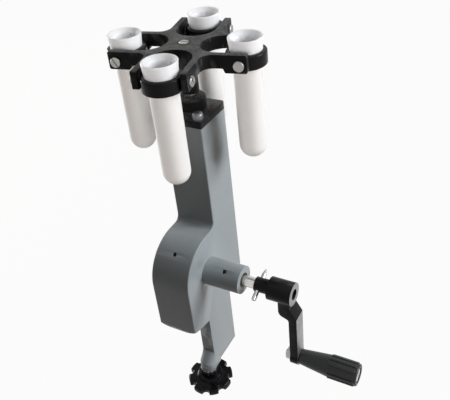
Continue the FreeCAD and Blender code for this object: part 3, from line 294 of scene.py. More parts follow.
BARE_IRON = (0.34, 0.34, 0.33)
# Colour laid on faces that look up: settled dust, and painted top light on the satin black.
DUST_AND_TOP_LIGHT_COLOUR = (0.42, 0.41, 0.39)
SKIN_DEPTH = 0.2 * MM
MARK_DEPTH = 0.1 * MM
MIX_FIRST_COLOUR = 6
MIX_SECOND_COLOUR = 7
MIX_COLOUR_OUT = 2


def placed_group(tree, name, **values):
    """A shader group in a material, with its own input values."""
    node = tree.nodes.new("ShaderNodeGroup")
    node.node_tree = bpy.data.node_groups[name]
    for label, value in values.items():
        node.inputs[label].default_value = value
    return node


def new_material(name):
    """Tree and shader of a new material of this exact name; the frame's own one steps aside."""
    plain = bpy.data.materials.get(name)
    if plain is not None:
        plain.name = f"{name}_plain"
    material = bpy.data.materials.new(name)
    material.use_nodes = True
    return material.node_tree, material.node_tree.nodes["Principled BSDF"]


def mixed_colour(tree, factor, first, second):
    """Blend of two colours by a factor socket; each colour is a socket or three numbers."""
    node = tree.nodes.new("ShaderNodeMix")
    node.data_type = "RGBA"
    tree.links.new(factor, node.inputs["Factor"])
    for index, colour in ((MIX_FIRST_COLOUR, first), (MIX_SECOND_COLOUR, second)):
        if not isinstance(colour, bpy.types.NodeSocket):
            colour = (*colour, 1)
        feed(tree, colour, node.inputs[index])
    return node.outputs[MIX_COLOUR_OUT]


def between(tree, factor, low, high):
    """Number between low and high by a factor socket."""
    return math_node(tree, "ADD", math_node(tree, "MULTIPLY", factor, high - low), low)


def shaded(colour, amount):
    """Colour made lighter or darker, held below full white."""
    return tuple(min(1.0, channel * amount) for channel in colour)


def bumped(tree, shader, height, distance, strength):
    """Gives a shader a bump from a height socket."""
    node = tree.nodes.new("ShaderNodeBump")
    node.inputs["Distance"].default_value = distance
    node.inputs["Strength"].default_value = strength
    tree.links.new(height, node.inputs["Height"])
    tree.links.new(node.outputs["Normal"], shader.inputs["Normal"])


def glossed(shader, shine, coat, coat_rough):
    """Sets a shader's own reflection and its clear coat."""
    shader.inputs["Specular IOR Level"].default_value = shine
    shader.inputs["Coat Weight"].default_value = coat
    shader.inputs["Coat Roughness"].default_value = coat_rough


def enamel_material(name, colour, rough, coat, wear, dust, shine, wave=260.0, bump=0.16):
    """Stoved enamel over iron: cloudy colour, flow waves, rubbed edges, and a little dust on faces that look
    up, which with a larger amount is painted light on the tops.
    """
    tree, shader = new_material(name)
    cloud = placed_group(tree, "Mottle", Broad=30.0, Fine=900.0)
    skin = placed_group(tree, "Enamel skin", Wave=wave)
    rubbed = placed_group(tree, "Rubbed edges", Amount=wear)
    dust_and_top_light_node = placed_group(tree, "Settled dust", Amount=dust)
    dust_and_top_light_rough = 0.3
    paint = mixed_colour(tree, cloud.outputs["Value"], shaded(colour, 0.95), shaded(colour, 1.05))
    # Lighter on faces that look up: a little dust, and on the satin black a painted light where light from
    # above falls.
    dusted_and_top_lit = mixed_colour(tree, dust_and_top_light_node.outputs["Mask"], paint, DUST_AND_TOP_LIGHT_COLOUR)
    final = mixed_colour(tree, rubbed.outputs["Mask"], dusted_and_top_lit, BARE_IRON)
    tree.links.new(final, shader.inputs["Base Color"])
    tree.links.new(rubbed.outputs["Mask"], shader.inputs["Metallic"])
    sheen = between(tree, cloud.outputs["Value"], low=rough - 0.05, high=rough + 0.07)
    matt = math_node(tree, "MULTIPLY", dust_and_top_light_node.outputs["Mask"], dust_and_top_light_rough)
    tree.links.new(math_node(tree, "ADD", sheen, matt), shader.inputs["Roughness"])
    glossed(shader, shine, coat, coat_rough=0.12)
    bumped(tree, shader, skin.outputs["Height"], SKIN_DEPTH, bump)


def metal_material(name, colour, rough, marks=900.0, along=0.06):
    """Machined metal with fine marks and a cloudy sheen."""
    tree, shader = new_material(name)
    cloud = placed_group(tree, "Mottle", Broad=60.0, Fine=500.0)
    cut = placed_group(tree, "Machining marks", Scale=marks, Along=along)
    tone = mixed_colour(tree, cut.outputs["Tone"], shaded(colour, 0.9), shaded(colour, 1.08))
    tree.links.new(mixed_colour(tree, cloud.outputs["Value"], tone, shaded(colour, 0.82)),
                   shader.inputs["Base Color"])
    tree.links.new(between(tree, cloud.outputs["Value"], low=rough - 0.04, high=rough + 0.1),
                   shader.inputs["Roughness"])
    shader.inputs["Metallic"].default_value = 1.0
    bumped(tree, shader, cut.outputs["Height"], MARK_DEPTH, strength=0.08)


def moulded_material(name, colour, rough, grain, bump, shine):
    """Moulded plastic with a fine grain and handling marks in its sheen."""
    tree, shader = new_material(name)
    cloud = placed_group(tree, "Mottle", Broad=45.0, Fine=300.0)
    skin = placed_group(tree, "Enamel skin", Wave=grain, Grain=grain * 3)
    rubbed = placed_group(tree, "Rubbed edges", Amount=0.35)
    body = mixed_colour(tree, cloud.outputs["Value"], shaded(colour, 0.85), shaded(colour, 1.2))
    tree.links.new(mixed_colour(tree, rubbed.outputs["Mask"], body, shaded(colour, 3.0)),
                   shader.inputs["Base Color"])
    tree.links.new(between(tree, cloud.outputs["Value"], low=rough - 0.05, high=rough + 0.08),
                   shader.inputs["Roughness"])
    glossed(shader, shine, coat=0.05, coat_rough=0.08)
    bumped(tree, shader, skin.outputs["Height"], SKIN_DEPTH, bump)


def shield_material():
    """White polypropylene that light sinks into, turning a little bluer over the trunnion ring's height and
    above it up to the rim.
    """
    tree, shader = new_material("shield_plastic")
    white = tuple(finish_settings().shield_white)
    cool_shift = (0.97, 1.0, 1.05)
    cool = tuple(min(1.0, channel * shift) for channel, shift in zip(white, cool_shift))
    sink_depth = 8 * MM
    place = tree.nodes.new("ShaderNodeTexCoord")
    parts = tree.nodes.new("ShaderNodeSeparateXYZ")
    tree.links.new(place.outputs["Object"], parts.inputs[0])
    rim = ramp(tree, parts.outputs["Z"], RING_LOW.z, RING_HIGH.z)
    cloud = placed_group(tree, "Mottle", Broad=30.0, Fine=200.0)
    skin = placed_group(tree, "Enamel skin", Wave=320.0, Grain=1100.0)
    body = mixed_colour(tree, cloud.outputs["Value"], shaded(white, 0.97), white)
    tree.links.new(mixed_colour(tree, rim, body, cool), shader.inputs["Base Color"])
    tree.links.new(between(tree, cloud.outputs["Value"], low=0.34, high=0.46), shader.inputs["Roughness"])
    shader.inputs["Subsurface Weight"].default_value = 0.5
    shader.inputs["Subsurface Radius"].default_value = (sink_depth, sink_depth, sink_depth)
    shader.inputs["Subsurface Scale"].default_value = 1.0
    bumped(tree, shader, skin.outputs["Height"], SKIN_DEPTH, strength=0.06)


def build_materials():
    colours = finish_settings()
    enamel_material("body_paint", colours.body_grey, rough=0.40, coat=0.05, wear=0.25, dust=0.05, shine=0.24)
    # The satin black's large amount on faces that look up is painted light: its tops are lighter where light
    # from above falls.
    enamel_material("black_satin", colours.rotor_black, rough=0.46, coat=0.0, wear=0.15, dust=0.28,
                    shine=0.08, bump=0.2)
    enamel_material("black_gloss", colours.arm_black, rough=0.2, coat=0.04, wear=0.1, dust=0.02,
                    shine=0.07, wave=180.0)
    metal_material("bright_steel", (0.62, 0.61, 0.59), rough=0.2)
    metal_material("dark_steel", (0.22, 0.22, 0.23), rough=0.4)
    metal_material("ground_iron", (0.36, 0.36, 0.36), rough=0.42, marks=700.0, along=1.0)
    metal_material("nickel", colours.nickel, rough=0.3, marks=1400.0, along=0.3)
    # The bronze is darkened almost to black: partly oiled bronze, partly painted shade round the shafts
    # where the bushes show.
    metal_material("bronze", (0.06, 0.052, 0.044), rough=0.5)
    moulded_material("grip_plastic", (0.02, 0.021, 0.021), rough=0.4, grain=700.0, bump=0.16, shine=0.3)
    moulded_material("knob_plastic", (0.005, 0.005, 0.006), rough=0.17, grain=420.0, bump=0.08, shine=0.07)
    shield_material()


def finish(piece, slot, body, *nodes):
    """Gives a finished piece its material, its slot and its body, and the nodes it stands for."""
    piece.data.materials.clear()
    piece.data.materials.append(bpy.data.materials[slot])
    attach(piece, body)
    if nodes:
        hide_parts(*nodes)


def repaint(slot, *nodes):
    """Gives CAD nodes that keep their own shape a finished material."""
    for node in nodes:
        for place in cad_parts[node].material_slots:
            place.material = bpy.data.materials[slot]


# Mesh helpers

def linked(name, data):
    """New object in the scene from a mesh, a lamp or a camera."""
    piece = bpy.data.objects.new(name, data)
    bpy.context.scene.collection.objects.link(piece)
    return piece


def smoothed(mesh, degrees=32):
    """Smooth shading that stays crisp at corners sharper than an angle."""
    mesh.shade_smooth()
    mesh.set_sharp_from_angle(angle=math.radians(degrees))


def placed_piece(name, mesh, place):
    """New object from a mesh that is moved to its place and shaded smooth."""
    mesh.transform(place)
    smoothed(mesh)
    return linked(name, mesh)


def baked(piece):
    """Replaces a piece's mesh by its evaluated one and removes its modifiers."""
    depsgraph = bpy.context.evaluated_depsgraph_get()
    mesh = bpy.data.meshes.new_from_object(piece.evaluated_get(depsgraph))
    old = piece.data
    piece.modifiers.clear()
    piece.data = mesh
    bpy.data.meshes.remove(old)
    mesh.name = piece.name


def softened_copy(node, name, width, steps=3):
    """Copy of a CAD node with its doubles merged and its sharp edges rounded."""
    doubles = 0.002 * MM
    flat = math.radians(0.4)
    sharp = math.radians(28)
    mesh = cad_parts[node].data.copy()
    work = bmesh.new()
    work.from_mesh(mesh)
    bmesh.ops.remove_doubles(work, verts=work.verts, dist=doubles)
    bmesh.ops.dissolve_limit(work, angle_limit=flat, verts=work.verts, edges=work.edges)
    work.to_mesh(mesh)
    work.free()
    piece = linked(name, mesh)
    bevel = piece.modifiers.new("Soft edges", "BEVEL")
    bevel.width = width
    bevel.segments = steps
    bevel.limit_method = "ANGLE"
    bevel.angle_limit = sharp
    bevel.use_clamp_overlap = True
    baked(piece)
    smoothed(piece.data, degrees=24)
    return piece


def mesh_of(work, name):
    """New mesh from a bmesh, which is freed."""
    mesh = bpy.data.meshes.new(name)
    work.to_mesh(mesh)
    work.free()
    return mesh


def vertex_ring(work, radii, height):
    """Vertices at one height, evenly turned about +Z, each at its own radius."""
    ring = []
    for step, radius in enumerate(radii):
        angle = FULL_TURN * step / len(radii)
        ring.append(work.verts.new((radius * math.cos(angle), radius * math.sin(angle), height)))
    return ring


def bridge(work, rings):
    """Faces from each ring of vertices to the next; a ring can be a single vertex."""
    for first, second in zip(rings, rings[1:]):
        steps = max(len(first), len(second))
        for step in range(steps):
            after = (step + 1) % steps
            corners = [first[step % len(first)], first[after % len(first)],
                       second[after % len(second)], second[step % len(second)]]
            unique = list(dict.fromkeys(corners))
            if len(unique) > 2:
                work.faces.new(unique)


def turned_mesh(name, profile, steps, closed=True):
    """Mesh turned about +Z from (radius, height) corners; closed joins the last to the first."""
    on_axis = 1e-7
    work = bmesh.new()
    rings = []
    for radius, height in profile:
        if radius < on_axis:
            rings.append([work.verts.new((0, 0, height))])
        else:
            rings.append(vertex_ring(work, [radius] * steps, height))
    bridge(work, rings + rings[:1] if closed else rings)
    bmesh.ops.recalc_face_normals(work, faces=work.faces)
    return mesh_of(work, name)


def rounded_profile(corners, steps=5):
    """Profile whose corners, given as (radius, height, round), become tangent arcs."""
    points = []
    count = len(corners)
    for index, (radius, height, blend) in enumerate(corners):
        corner = Vector((radius, height))
        if not blend:
            points.append((radius, height))
            continue
        before = Vector(corners[index - 1][:2]) - corner
        after = Vector(corners[(index + 1) % count][:2]) - corner
        before.normalize()
        after.normalize()
        half = before.angle(after) / 2
        reach = blend / math.tan(half)
        bisector = (before + after).normalized()
        centre = corner + bisector * (blend / math.sin(half))
        start = corner + before * reach - centre
        end = corner + after * reach - centre
        for step in range(steps + 1):
            share = step / steps
            arm = start.lerp(end, share).normalized() * blend
            points.append((centre.x + arm.x, centre.y + arm.y))
    return points


def bevelled_box(name, low, high, width):
    """Box between two corners with rounded edges."""
    work = bmesh.new()
    bmesh.ops.create_cube(work, size=1.0)
    size = Vector(high) - Vector(low)
    centre = (Vector(high) + Vector(low)) / 2
    for corner in work.verts:
        corner.co = Vector(a * b for a, b in zip(corner.co, size)) + centre
    bmesh.ops.bevel(work, geom=list(work.edges), offset=width, segments=3, affect="EDGES", profile=0.5)
    return mesh_of(work, name)


# Geometry Nodes trees

def geometry_tree(name, inputs):
    """Geometry tree with a geometry input, named inputs and a geometry output."""
    tree = bpy.data.node_groups.new(name, "GeometryNodeTree")
    tree.interface.new_socket(name="Geometry", in_out="INPUT", socket_type="NodeSocketGeometry")
    for label, (kind, value) in inputs.items():
        socket = tree.interface.new_socket(name=label, in_out="INPUT", socket_type=kind)
        if value is not None:
            socket.default_value = value
    tree.interface.new_socket(name="Geometry", in_out="OUTPUT", socket_type="NodeSocketGeometry")
    return tree, tree.nodes.new("NodeGroupInput"), tree.nodes.new("NodeGroupOutput")


def finished_output(tree, geometry, given, out):
    """Realizes the copies and gives them the tree's material."""
    real = tree.nodes.new("GeometryNodeRealizeInstances")
    paint = tree.nodes.new("GeometryNodeSetMaterial")
    tree.links.new(geometry, real.inputs[0])
    tree.links.new(real.outputs[0], paint.inputs["Geometry"])
    tree.links.new(given.outputs["Material"], paint.inputs["Material"])
    tree.links.new(paint.outputs[0], out.inputs[0])


def build_round_copies_tree():
    """Copies of the input geometry turned about +Z, a step apart."""
    tree, given, out = geometry_tree("Round copies", {
        "Count": ("NodeSocketInt", 4),
        "Start Angle": ("NodeSocketFloat", 0.0),
        "Step Angle": ("NodeSocketFloat", QUARTER_TURN),
        "Material": ("NodeSocketMaterial", None),
    })
    points = tree.nodes.new("GeometryNodePoints")
    index = tree.nodes.new("GeometryNodeInputIndex")
    turn = math_node(tree, "MULTIPLY", index.outputs[0], given.outputs["Step Angle"])
    turn = math_node(tree, "ADD", turn, given.outputs["Start Angle"])
    spin = tree.nodes.new("ShaderNodeCombineXYZ")
    copies = tree.nodes.new("GeometryNodeInstanceOnPoints")
    tree.links.new(given.outputs["Count"], points.inputs["Count"])
    tree.links.new(turn, spin.inputs["Z"])
    tree.links.new(points.outputs[0], copies.inputs["Points"])
    tree.links.new(given.outputs["Geometry"], copies.inputs["Instance"])
    tree.links.new(spin.outputs[0], copies.inputs["Rotation"])
    finished_output(tree, copies.outputs[0], given, out)


def build_thread_tree():
    """Thread ridge that climbs a core, joined with the core."""
    tree, given, out = geometry_tree("Thread", {
        "Radius": ("NodeSocketFloat", 4.0 * MM),
        "Pitch": ("NodeSocketFloat", 1.25 * MM),
        "Turns": ("NodeSocketFloat", 10.0),
        "Material": ("NodeSocketMaterial", None),
    })
    spiral = tree.nodes.new("GeometryNodeCurveSpiral")
    spiral.inputs["Resolution"].default_value = 36
    tree.links.new(given.outputs["Turns"], spiral.inputs["Rotations"])
    depth = math_node(tree, "MULTIPLY", given.outputs["Pitch"], 0.5)
    ridge_radius = math_node(tree, "SUBTRACT", given.outputs["Radius"], depth)
    tree.links.new(ridge_radius, spiral.inputs["Start Radius"])
    tree.links.new(ridge_radius, spiral.inputs["End Radius"])
    tree.links.new(math_node(tree, "MULTIPLY", given.outputs["Turns"], given.outputs["Pitch"]),
                   spiral.inputs["Height"])
    section = tree.nodes.new("GeometryNodeCurvePrimitiveCircle")
    section.inputs["Resolution"].default_value = 4
    tree.links.new(depth, section.inputs["Radius"])
    sweep = tree.nodes.new("GeometryNodeCurveToMesh")
    sweep.inputs["Fill Caps"].default_value = True
    tree.links.new(spiral.outputs[0], sweep.inputs["Curve"])
    tree.links.new(section.outputs[0], sweep.inputs["Profile Curve"])
    join = tree.nodes.new("GeometryNodeJoinGeometry")
    tree.links.new(given.outputs["Geometry"], join.inputs[0])
    tree.links.new(sweep.outputs[0], join.inputs[0])
    finished_output(tree, join.outputs[0], given, out)


def grown(piece, tree_name, values):
    """Runs a geometry tree on a piece and bakes the result."""
    tree = bpy.data.node_groups[tree_name]
    modifier = piece.modifiers.new(tree_name, "NODES")
    modifier.node_group = tree
    named = {item.name: item.identifier for item in tree.interface.items_tree if item.in_out == "INPUT"}
    for label, value in values.items():
        modifier[named[label]] = value
    piece.update_tag()
    baked(piece)


def place_matrix(origin, x_axis, z_axis):
    """Matrix that puts local +Z and +X along two directions at an origin."""
    z_axis = z_axis.normalized()
    x_axis = (x_axis - z_axis * x_axis.dot(z_axis)).normalized()
    turn = Matrix((x_axis, z_axis.cross(x_axis), z_axis)).transposed().to_4x4()
    return Matrix.Translation(origin) @ turn


def joined_meshes(name, meshes):
    """One mesh from several."""
    work = bmesh.new()
    for mesh in meshes:
        work.from_mesh(mesh)
    return mesh_of(work, name)


def slotted(mesh, slot_low, slot_high):
    """Mesh with a box cut out of it, such as a screwdriver slot."""
    slot_edge = 0.02 * MM
    piece = linked("slot_work", mesh)
    tool = linked("slot_tool", bevelled_box("slot_tool", slot_low, slot_high, slot_edge))
    cut = piece.modifiers.new("Slot", "BOOLEAN")
    cut.operation = "DIFFERENCE"
    cut.solver = "EXACT"
    cut.object = tool
    baked(piece)
    result = piece.data
    bpy.data.objects.remove(piece)
    bpy.data.objects.remove(tool)
    return result


# Casting, cover and cap

def make_cap_screw():
    """Round-head screw on the bearing cap's plate, beside its boss."""
    plate = 6.7 * MM
    right = 13.6 * MM
    front = -14.6 * MM
    sunk = 0.5 * MM
    radius = 4.6 * MM
    height = 6 * MM
    head_round = 3.4 * MM
    plate_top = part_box("body_casting")[1].z + plate
    profile = rounded_profile([
        (0, -sunk, 0), (radius, -sunk, 0), (radius, height, head_round), (0, height, 0)], steps=8)
    mesh = turned_mesh("cap_screw", profile, steps=48, closed=False)
    screw = placed_piece("cap_screw", mesh, Matrix.Translation((right, front, plate_top)))
    finish(screw, "dark_steel", "frame")


def make_casting():
    sizes = size_settings()
    casting = softened_copy("body_casting", "casting_skin", sizes.casting_edge)
    finish(casting, "body_paint", "frame", "body_casting")
    cover = softened_copy("gear_cover", "cover_skin", sizes.casting_edge / 2, steps=2)
    finish(cover, "body_paint", "frame", "gear_cover")
    cap = softened_copy("bearing_cap", "cap_skin", sizes.casting_edge)
    finish(cap, "black_satin", "frame", "bearing_cap")
    make_cap_screw()
    repaint("bright_steel", "gear_cover_screws", "thrust_ball")
    repaint("dark_steel", "cap_grub_screws")
    # The bushes' near-black bronze is partly painted shade round the shafts.
    repaint("bronze", "upper_spindle_bush", "lower_spindle_bush", "inner_crank_bush", "outer_crank_bush")


# Rotor

def pivot_screw_pair():
    """The two slotted screws of one fork, with the fork along local +X."""
    low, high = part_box("pivot_screws")
    centre = Vector((PIVOT_CIRCLE, 0, (low.z + high.z) / 2))
    tip = 13.7 * MM
    shank_start = 17 * MM
    head_start = 22 * MM
    head_end = 24 * MM
    tip_radius = 1.9 * MM
    shank = 2.2 * MM
    head = 4.25 * MM
    head_round = 0.6 * MM
    seat_round = 0.2 * MM
    slot_half = 0.5 * MM
    slot_floor = 23.1 * MM
    slot_turn = math.radians(30)
    profile = rounded_profile([
        (0, tip, 0), (tip_radius, tip, 0), (tip_radius, shank_start, 0), (shank, shank_start, 0),
        (shank, head_start, 0), (head, head_start, seat_round), (head, head_end, head_round),
        (0, head_end, 0)], steps=4)
    meshes = []
    for side in (-1, 1):
        mesh = turned_mesh("pivot_screw", profile, steps=40, closed=False)
        mesh = slotted(mesh, (-slot_half, -2 * head, slot_floor), (slot_half, 2 * head, head_end + MM))
        turn = Matrix.Rotation(slot_turn * side, 4, "Z")
        mesh.transform(place_matrix(centre, X_AXIS, Y_AXIS * side) @ turn)
        meshes.append(mesh)
    return joined_meshes("pivot_screw_pair", meshes)


def make_rotor():
    sizes = size_settings()
    spider = softened_copy("rotor_spider", "spider_skin", sizes.rotor_edge)
    finish(spider, "black_satin", "rotor", "rotor_spider")
    screws = linked("pivot_screw_set", pivot_screw_pair())
    grown(screws, "Round copies", {
        "Count": len(BUCKETS), "Start Angle": ROTOR_TURN, "Step Angle": FULL_TURN / len(BUCKETS),
        "Material": bpy.data.materials["nickel"]})
    smoothed(screws.data)
    finish(screws, "nickel", "rotor", "pivot_screws")
    repaint("nickel", "rotor_screw")
    repaint("bright_steel", "spindle", "worm_pin", "rotor_pin")
    repaint("dark_steel", "worm")


# Buckets

def ball_arc(radius, centre_z, shares):
    """Quarter arc below a ball's centre as (radius, height) points; share 0 is its foot."""
    angles = [QUARTER_TURN * share for share in shares]
    return [(radius * math.sin(angle), centre_z - radius * math.cos(angle)) for angle in angles]


def shield_profile():
    """Section of a tube shield, from the outside of its foot round to the inside."""
    top = SHIELD_HIGH.z
    shelf = RING_HIGH.z
    outer = 11.5 * MM
    bore = 8.75 * MM
    bore_top = top - 4 * MM
    collar = 13 * MM
    collar_top = shelf + 1.6 * MM
    collar_round = 0.3 * MM
    rim = 14 * MM
    rim_inside = 12.7 * MM
    rim_round = 0.6 * MM
    funnel = bore + 0.5 * MM
    funnel_end = top - 2.6 * MM
    funnel_round = 0.5 * MM
    ball_z = SHIELD_LOW.z + outer
    arc_steps = 14
    shares = [step / arc_steps for step in range(arc_steps + 1)]
    walls = rounded_profile([
        (outer, shelf, 0), (collar, shelf, collar_round), (collar, collar_top, collar_round),
        (rim, top, rim_round), (rim_inside, top, rim_round), (funnel, funnel_end, funnel_round),
        (bore, bore_top, 0)], steps=4)
    return ball_arc(outer, ball_z, shares) + walls + ball_arc(bore, ball_z, reversed(shares))


def make_buckets():
    steps = size_settings().round_steps
    outer = (RING_HIGH.x - RING_LOW.x) / 2
    outer_round = 1.5 * MM
    bore = 11.8 * MM
    bore_round = 0.5 * MM
    ring_profile = rounded_profile([
        (bore, RING_LOW.z, bore_round), (outer, RING_LOW.z, outer_round),
        (outer, RING_HIGH.z, outer_round), (bore, RING_HIGH.z, bore_round)])
    for bucket, centre in zip(BUCKETS, RING_AXES):
        place = Matrix.Translation((centre.x, centre.y, 0))
        ring = placed_piece(f"ring_{bucket}", turned_mesh("ring", ring_profile, steps), place)
        finish(ring, "black_gloss", f"bucket_{bucket}", f"trunnion_ring_{bucket}")
        shield_mesh = turned_mesh("shield", shield_profile(), steps, closed=False)
        shield = placed_piece(f"shield_{bucket}", shield_mesh, place)
        finish(shield, "shield_plastic", f"bucket_{bucket}", f"tube_shield_{bucket}")


# Crank, pin and handle

def bare_outer_faces(arm, material):
    """Leaves the arm's flat outer face and the hub's end face as ground metal."""
    past_shaft = 3.5 * MM
    facing_out = 0.97
    arm.data.materials.append(bpy.data.materials[material])
    for face in arm.data.polygons:
        if face.normal.x > facing_out and face.center.x > CRANK_END + past_shaft:
            face.material_index = 1


def make_crank():
    sizes = size_settings()
    arm = softened_copy("crank_arm", "arm_skin", sizes.crank_edge)
    finish(arm, "black_gloss", "crank", "crank_arm")
    bare_outer_faces(arm, "ground_iron")
    nut_edge = 0.2 * MM
    nut = softened_copy("handle_nut", "nut_skin", nut_edge, steps=2)
    finish(nut, "nickel", "crank", "handle_nut")
    repaint("bright_steel", "crank_shaft", "drive_pin", "handle_bolt")
    repaint("bronze", "gear_wheel")
    repaint("dark_steel", "gear_key")


def grip_profile():
    """Turned section of the grip between its ribs, from its inner face to its bolt pocket."""
    bore = 3.05 * MM
    foot = 7 * MM
    foot_round = 0.5 * MM
    neck = 10 * MM
    neck_end = GRIP_LENGTH - 28.5 * MM
    neck_round = 1.2 * MM
    valley = GRIP_RADIUS - 0.9 * MM
    valley_start = neck_end + 1.5 * MM
    valley_round = 1.0 * MM
    end_round = 1.2 * MM
    pocket = (BOLT_HIGH.z - BOLT_LOW.z) / 2 + 0.4 * MM
    pocket_floor = GRIP_LENGTH - 4 * MM
    pocket_round = 0.4 * MM
    return rounded_profile([
        (bore, 0, 0), (foot, 0, foot_round), (neck, neck_end, neck_round),
        (valley, valley_start, valley_round), (valley, GRIP_LENGTH, end_round),
        (pocket, GRIP_LENGTH, pocket_round), (pocket, pocket_floor, 0), (bore, pocket_floor, 0)])


def rib_mesh():
    """One long rib with rounded ends, along local +Z on the +X side."""
    root = GRIP_RADIUS - 2.2 * MM
    half = 1.55 * MM
    start = GRIP_LENGTH - 26.6 * MM
    end = GRIP_LENGTH - 2.2 * MM
    edge = 0.7 * MM
    return bevelled_box("rib", (root, -half, start), (GRIP_RADIUS, half, end), edge)


def make_grip():
    sizes = size_settings()
    centre = box_centre("handle_grip")
    origin = Vector((GRIP_LOW.x, centre.y, centre.z))
    place = place_matrix(origin, Y_AXIS, X_AXIS)
    core = placed_piece("grip_core", turned_mesh("grip", grip_profile(), sizes.round_steps), place)
    finish(core, "grip_plastic", "handle", "handle_grip")
    ribs = linked("grip_ribs", rib_mesh())
    grown(ribs, "Round copies", {
        "Count": sizes.grip_ribs, "Start Angle": 0.0, "Step Angle": FULL_TURN / sizes.grip_ribs,
        "Material": bpy.data.materials["grip_plastic"]})
    ribs.data.transform(place)
    smoothed(ribs.data)
    finish(ribs, "grip_plastic", "handle")


# Clamp

def knob_outline(angle, lobes):
    """Distance to the knob's lobed outline in one direction."""
    reach = 23.2 * MM
    notch_radius = 4.2 * MM
    notch_centre = 23.6 * MM
    first_notch = math.radians(15)
    step = FULL_TURN / lobes
    offset = (angle - first_notch + step / 2) % step - step / 2
    across = notch_centre * math.sin(offset)
    if abs(across) >= notch_radius:
        return reach
    inner = notch_centre * math.cos(offset) - math.sqrt(notch_radius ** 2 - across ** 2)
    return min(reach, inner)


def knob_mesh():
    """Lobed disc with rounded edges under a stepped hub, as one closed skin."""
    lobes = size_settings().knob_lobes
    steps_per_lobe = 30
    steps = steps_per_lobe * lobes
    top = KNOB_HIGH.z
    disc_low = KNOB_LOW.z
    disc_top = disc_low + 8 * MM
    disc_round = 2.2 * MM
    root = 14.2 * MM
    skirt = 13 * MM
    skirt_low = disc_top + 0.6 * MM
    skirt_round = 0.4 * MM
    shoulder = 12 * MM
    shoulder_z = disc_top + 4 * MM
    shoulder_round = 0.8 * MM
    neck = 9.5 * MM
    neck_low = disc_top + 4.2 * MM
    neck_round = 0.3 * MM
    top_round = 1.0 * MM
    bore = 4.02 * MM
    arc_steps = 6
    arc = [QUARTER_TURN * step / arc_steps for step in range(arc_steps + 1)]
    disc = [(disc_round * (1 - math.sin(angle)), disc_low + disc_round * (1 - math.cos(angle)))
            for angle in arc]
    disc += [(disc_round * (1 - math.cos(angle)), disc_top - disc_round * (1 - math.sin(angle)))
             for angle in arc]
    hub = rounded_profile([
        (root, disc_top, 0), (skirt, skirt_low, skirt_round), (shoulder, shoulder_z, shoulder_round),
        (neck, neck_low, neck_round), (neck, top, top_round), (bore, top, 0),
        (bore, disc_top, 0)], steps=4)
    outline = [knob_outline(FULL_TURN * step / steps, lobes) for step in range(steps)]
    work = bmesh.new()
    rings = [vertex_ring(work, [radius - inset for radius in outline], height) for inset, height in disc]
    rings += [vertex_ring(work, [radius] * steps, height) for radius, height in hub]
    bridge(work, rings)
    work.faces.new(list(reversed(rings[0])))
    work.faces.new(rings[-1])
    bmesh.ops.recalc_face_normals(work, faces=work.faces)
    return mesh_of(work, "knob")


def make_clamp():
    sizes = size_settings()
    centre = box_centre("clamp_stud")
    knob = placed_piece("knob_skin", knob_mesh(), Matrix.Translation((centre.x, centre.y, 0)))
    finish(knob, "knob_plastic", "clamp_screw", "star_knob")
    pitch = sizes.thread_pitch
    depth_share = 0.62
    end_round = 0.4 * MM
    radius = (STUD_HIGH.x - STUD_LOW.x) / 2
    length = STUD_HIGH.z - STUD_LOW.z
    core = radius - pitch * depth_share
    profile = rounded_profile([
        (0, 0, 0), (core, 0, 0), (core, length, end_round), (0, length, 0)], steps=3)
    stud = linked("stud_thread", turned_mesh("stud", profile, sizes.round_steps // 2, closed=False))
    lift = Matrix.Translation((0, 0, pitch))
    stud.data.transform(lift.inverted())
    grown(stud, "Thread", {
        "Radius": radius, "Pitch": pitch, "Turns": float(math.floor((length - 2 * pitch) / pitch)),
        "Material": bpy.data.materials["bright_steel"]})
    stud.data.transform(Matrix.Translation((centre.x, centre.y, STUD_LOW.z)) @ lift)
    smoothed(stud.data, degrees=40)
    finish(stud, "bright_steel", "clamp_screw", "clamp_stud")
    repaint("bright_steel", "clamp_washer")


# Stage

def seen_mix(tree, plain, shown, share):
    """Mixes a share of another shader into a plain one, for rays that show the background."""
    rays = tree.nodes.new("ShaderNodeLightPath")
    seen = math_node(tree, "MAXIMUM", rays.outputs["Is Camera Ray"], rays.outputs["Is Glossy Ray"])
    seen = math_node(tree, "MAXIMUM", seen, rays.outputs["Is Transmission Ray"])
    seen = math_node(tree, "MULTIPLY", seen, share)
    mix = tree.nodes.new("ShaderNodeMixShader")
    for source, socket in zip((seen, plain, shown), mix.inputs):
        tree.links.new(source, socket)
    return mix.outputs[0]


def make_floor():
    clearance = 0.2 * MM
    low = cad_bounds[0][2] - KNOB_TRAVEL - clearance
    half = 4.0
    mesh = bpy.data.meshes.new("floor")
    mesh.from_pydata([(-half, -half, low), (half, -half, low), (half, half, low), (-half, half, low)],
                     [], [(0, 1, 2, 3)])
    floor = linked("floor", mesh)
    tree, shader = new_material("floor_white")
    shader.inputs["Base Color"].default_value = (0.2, 0.155, 0.135, 1)
    shader.inputs["Roughness"].default_value = 0.9
    glow = tree.nodes.new("ShaderNodeEmission")
    glow.inputs["Strength"].default_value = 1.0
    white = seen_mix(tree, shader.outputs[0], glow.outputs[0], share=0.96)
    tree.links.new(white, tree.nodes["Material Output"].inputs["Surface"])
    mesh.materials.append(bpy.data.materials["floor_white"])


def make_sky():
    world = bpy.data.worlds.new("studio")
    bpy.context.scene.world = world
    world.use_nodes = True
    tree = world.node_tree
    even = tree.nodes["Background"]
    shown = tree.nodes.new("ShaderNodeBackground")
    for light, strength in ((even, stage_settings().sky), (shown, 0.965)):
        light.inputs["Color"].default_value = (1, 1, 1, 1)
        light.inputs["Strength"].default_value = strength
    sky = seen_mix(tree, even.outputs[0], shown.outputs[0], share=1.0)
    tree.links.new(sky, tree.nodes["World Output"].inputs["Surface"])


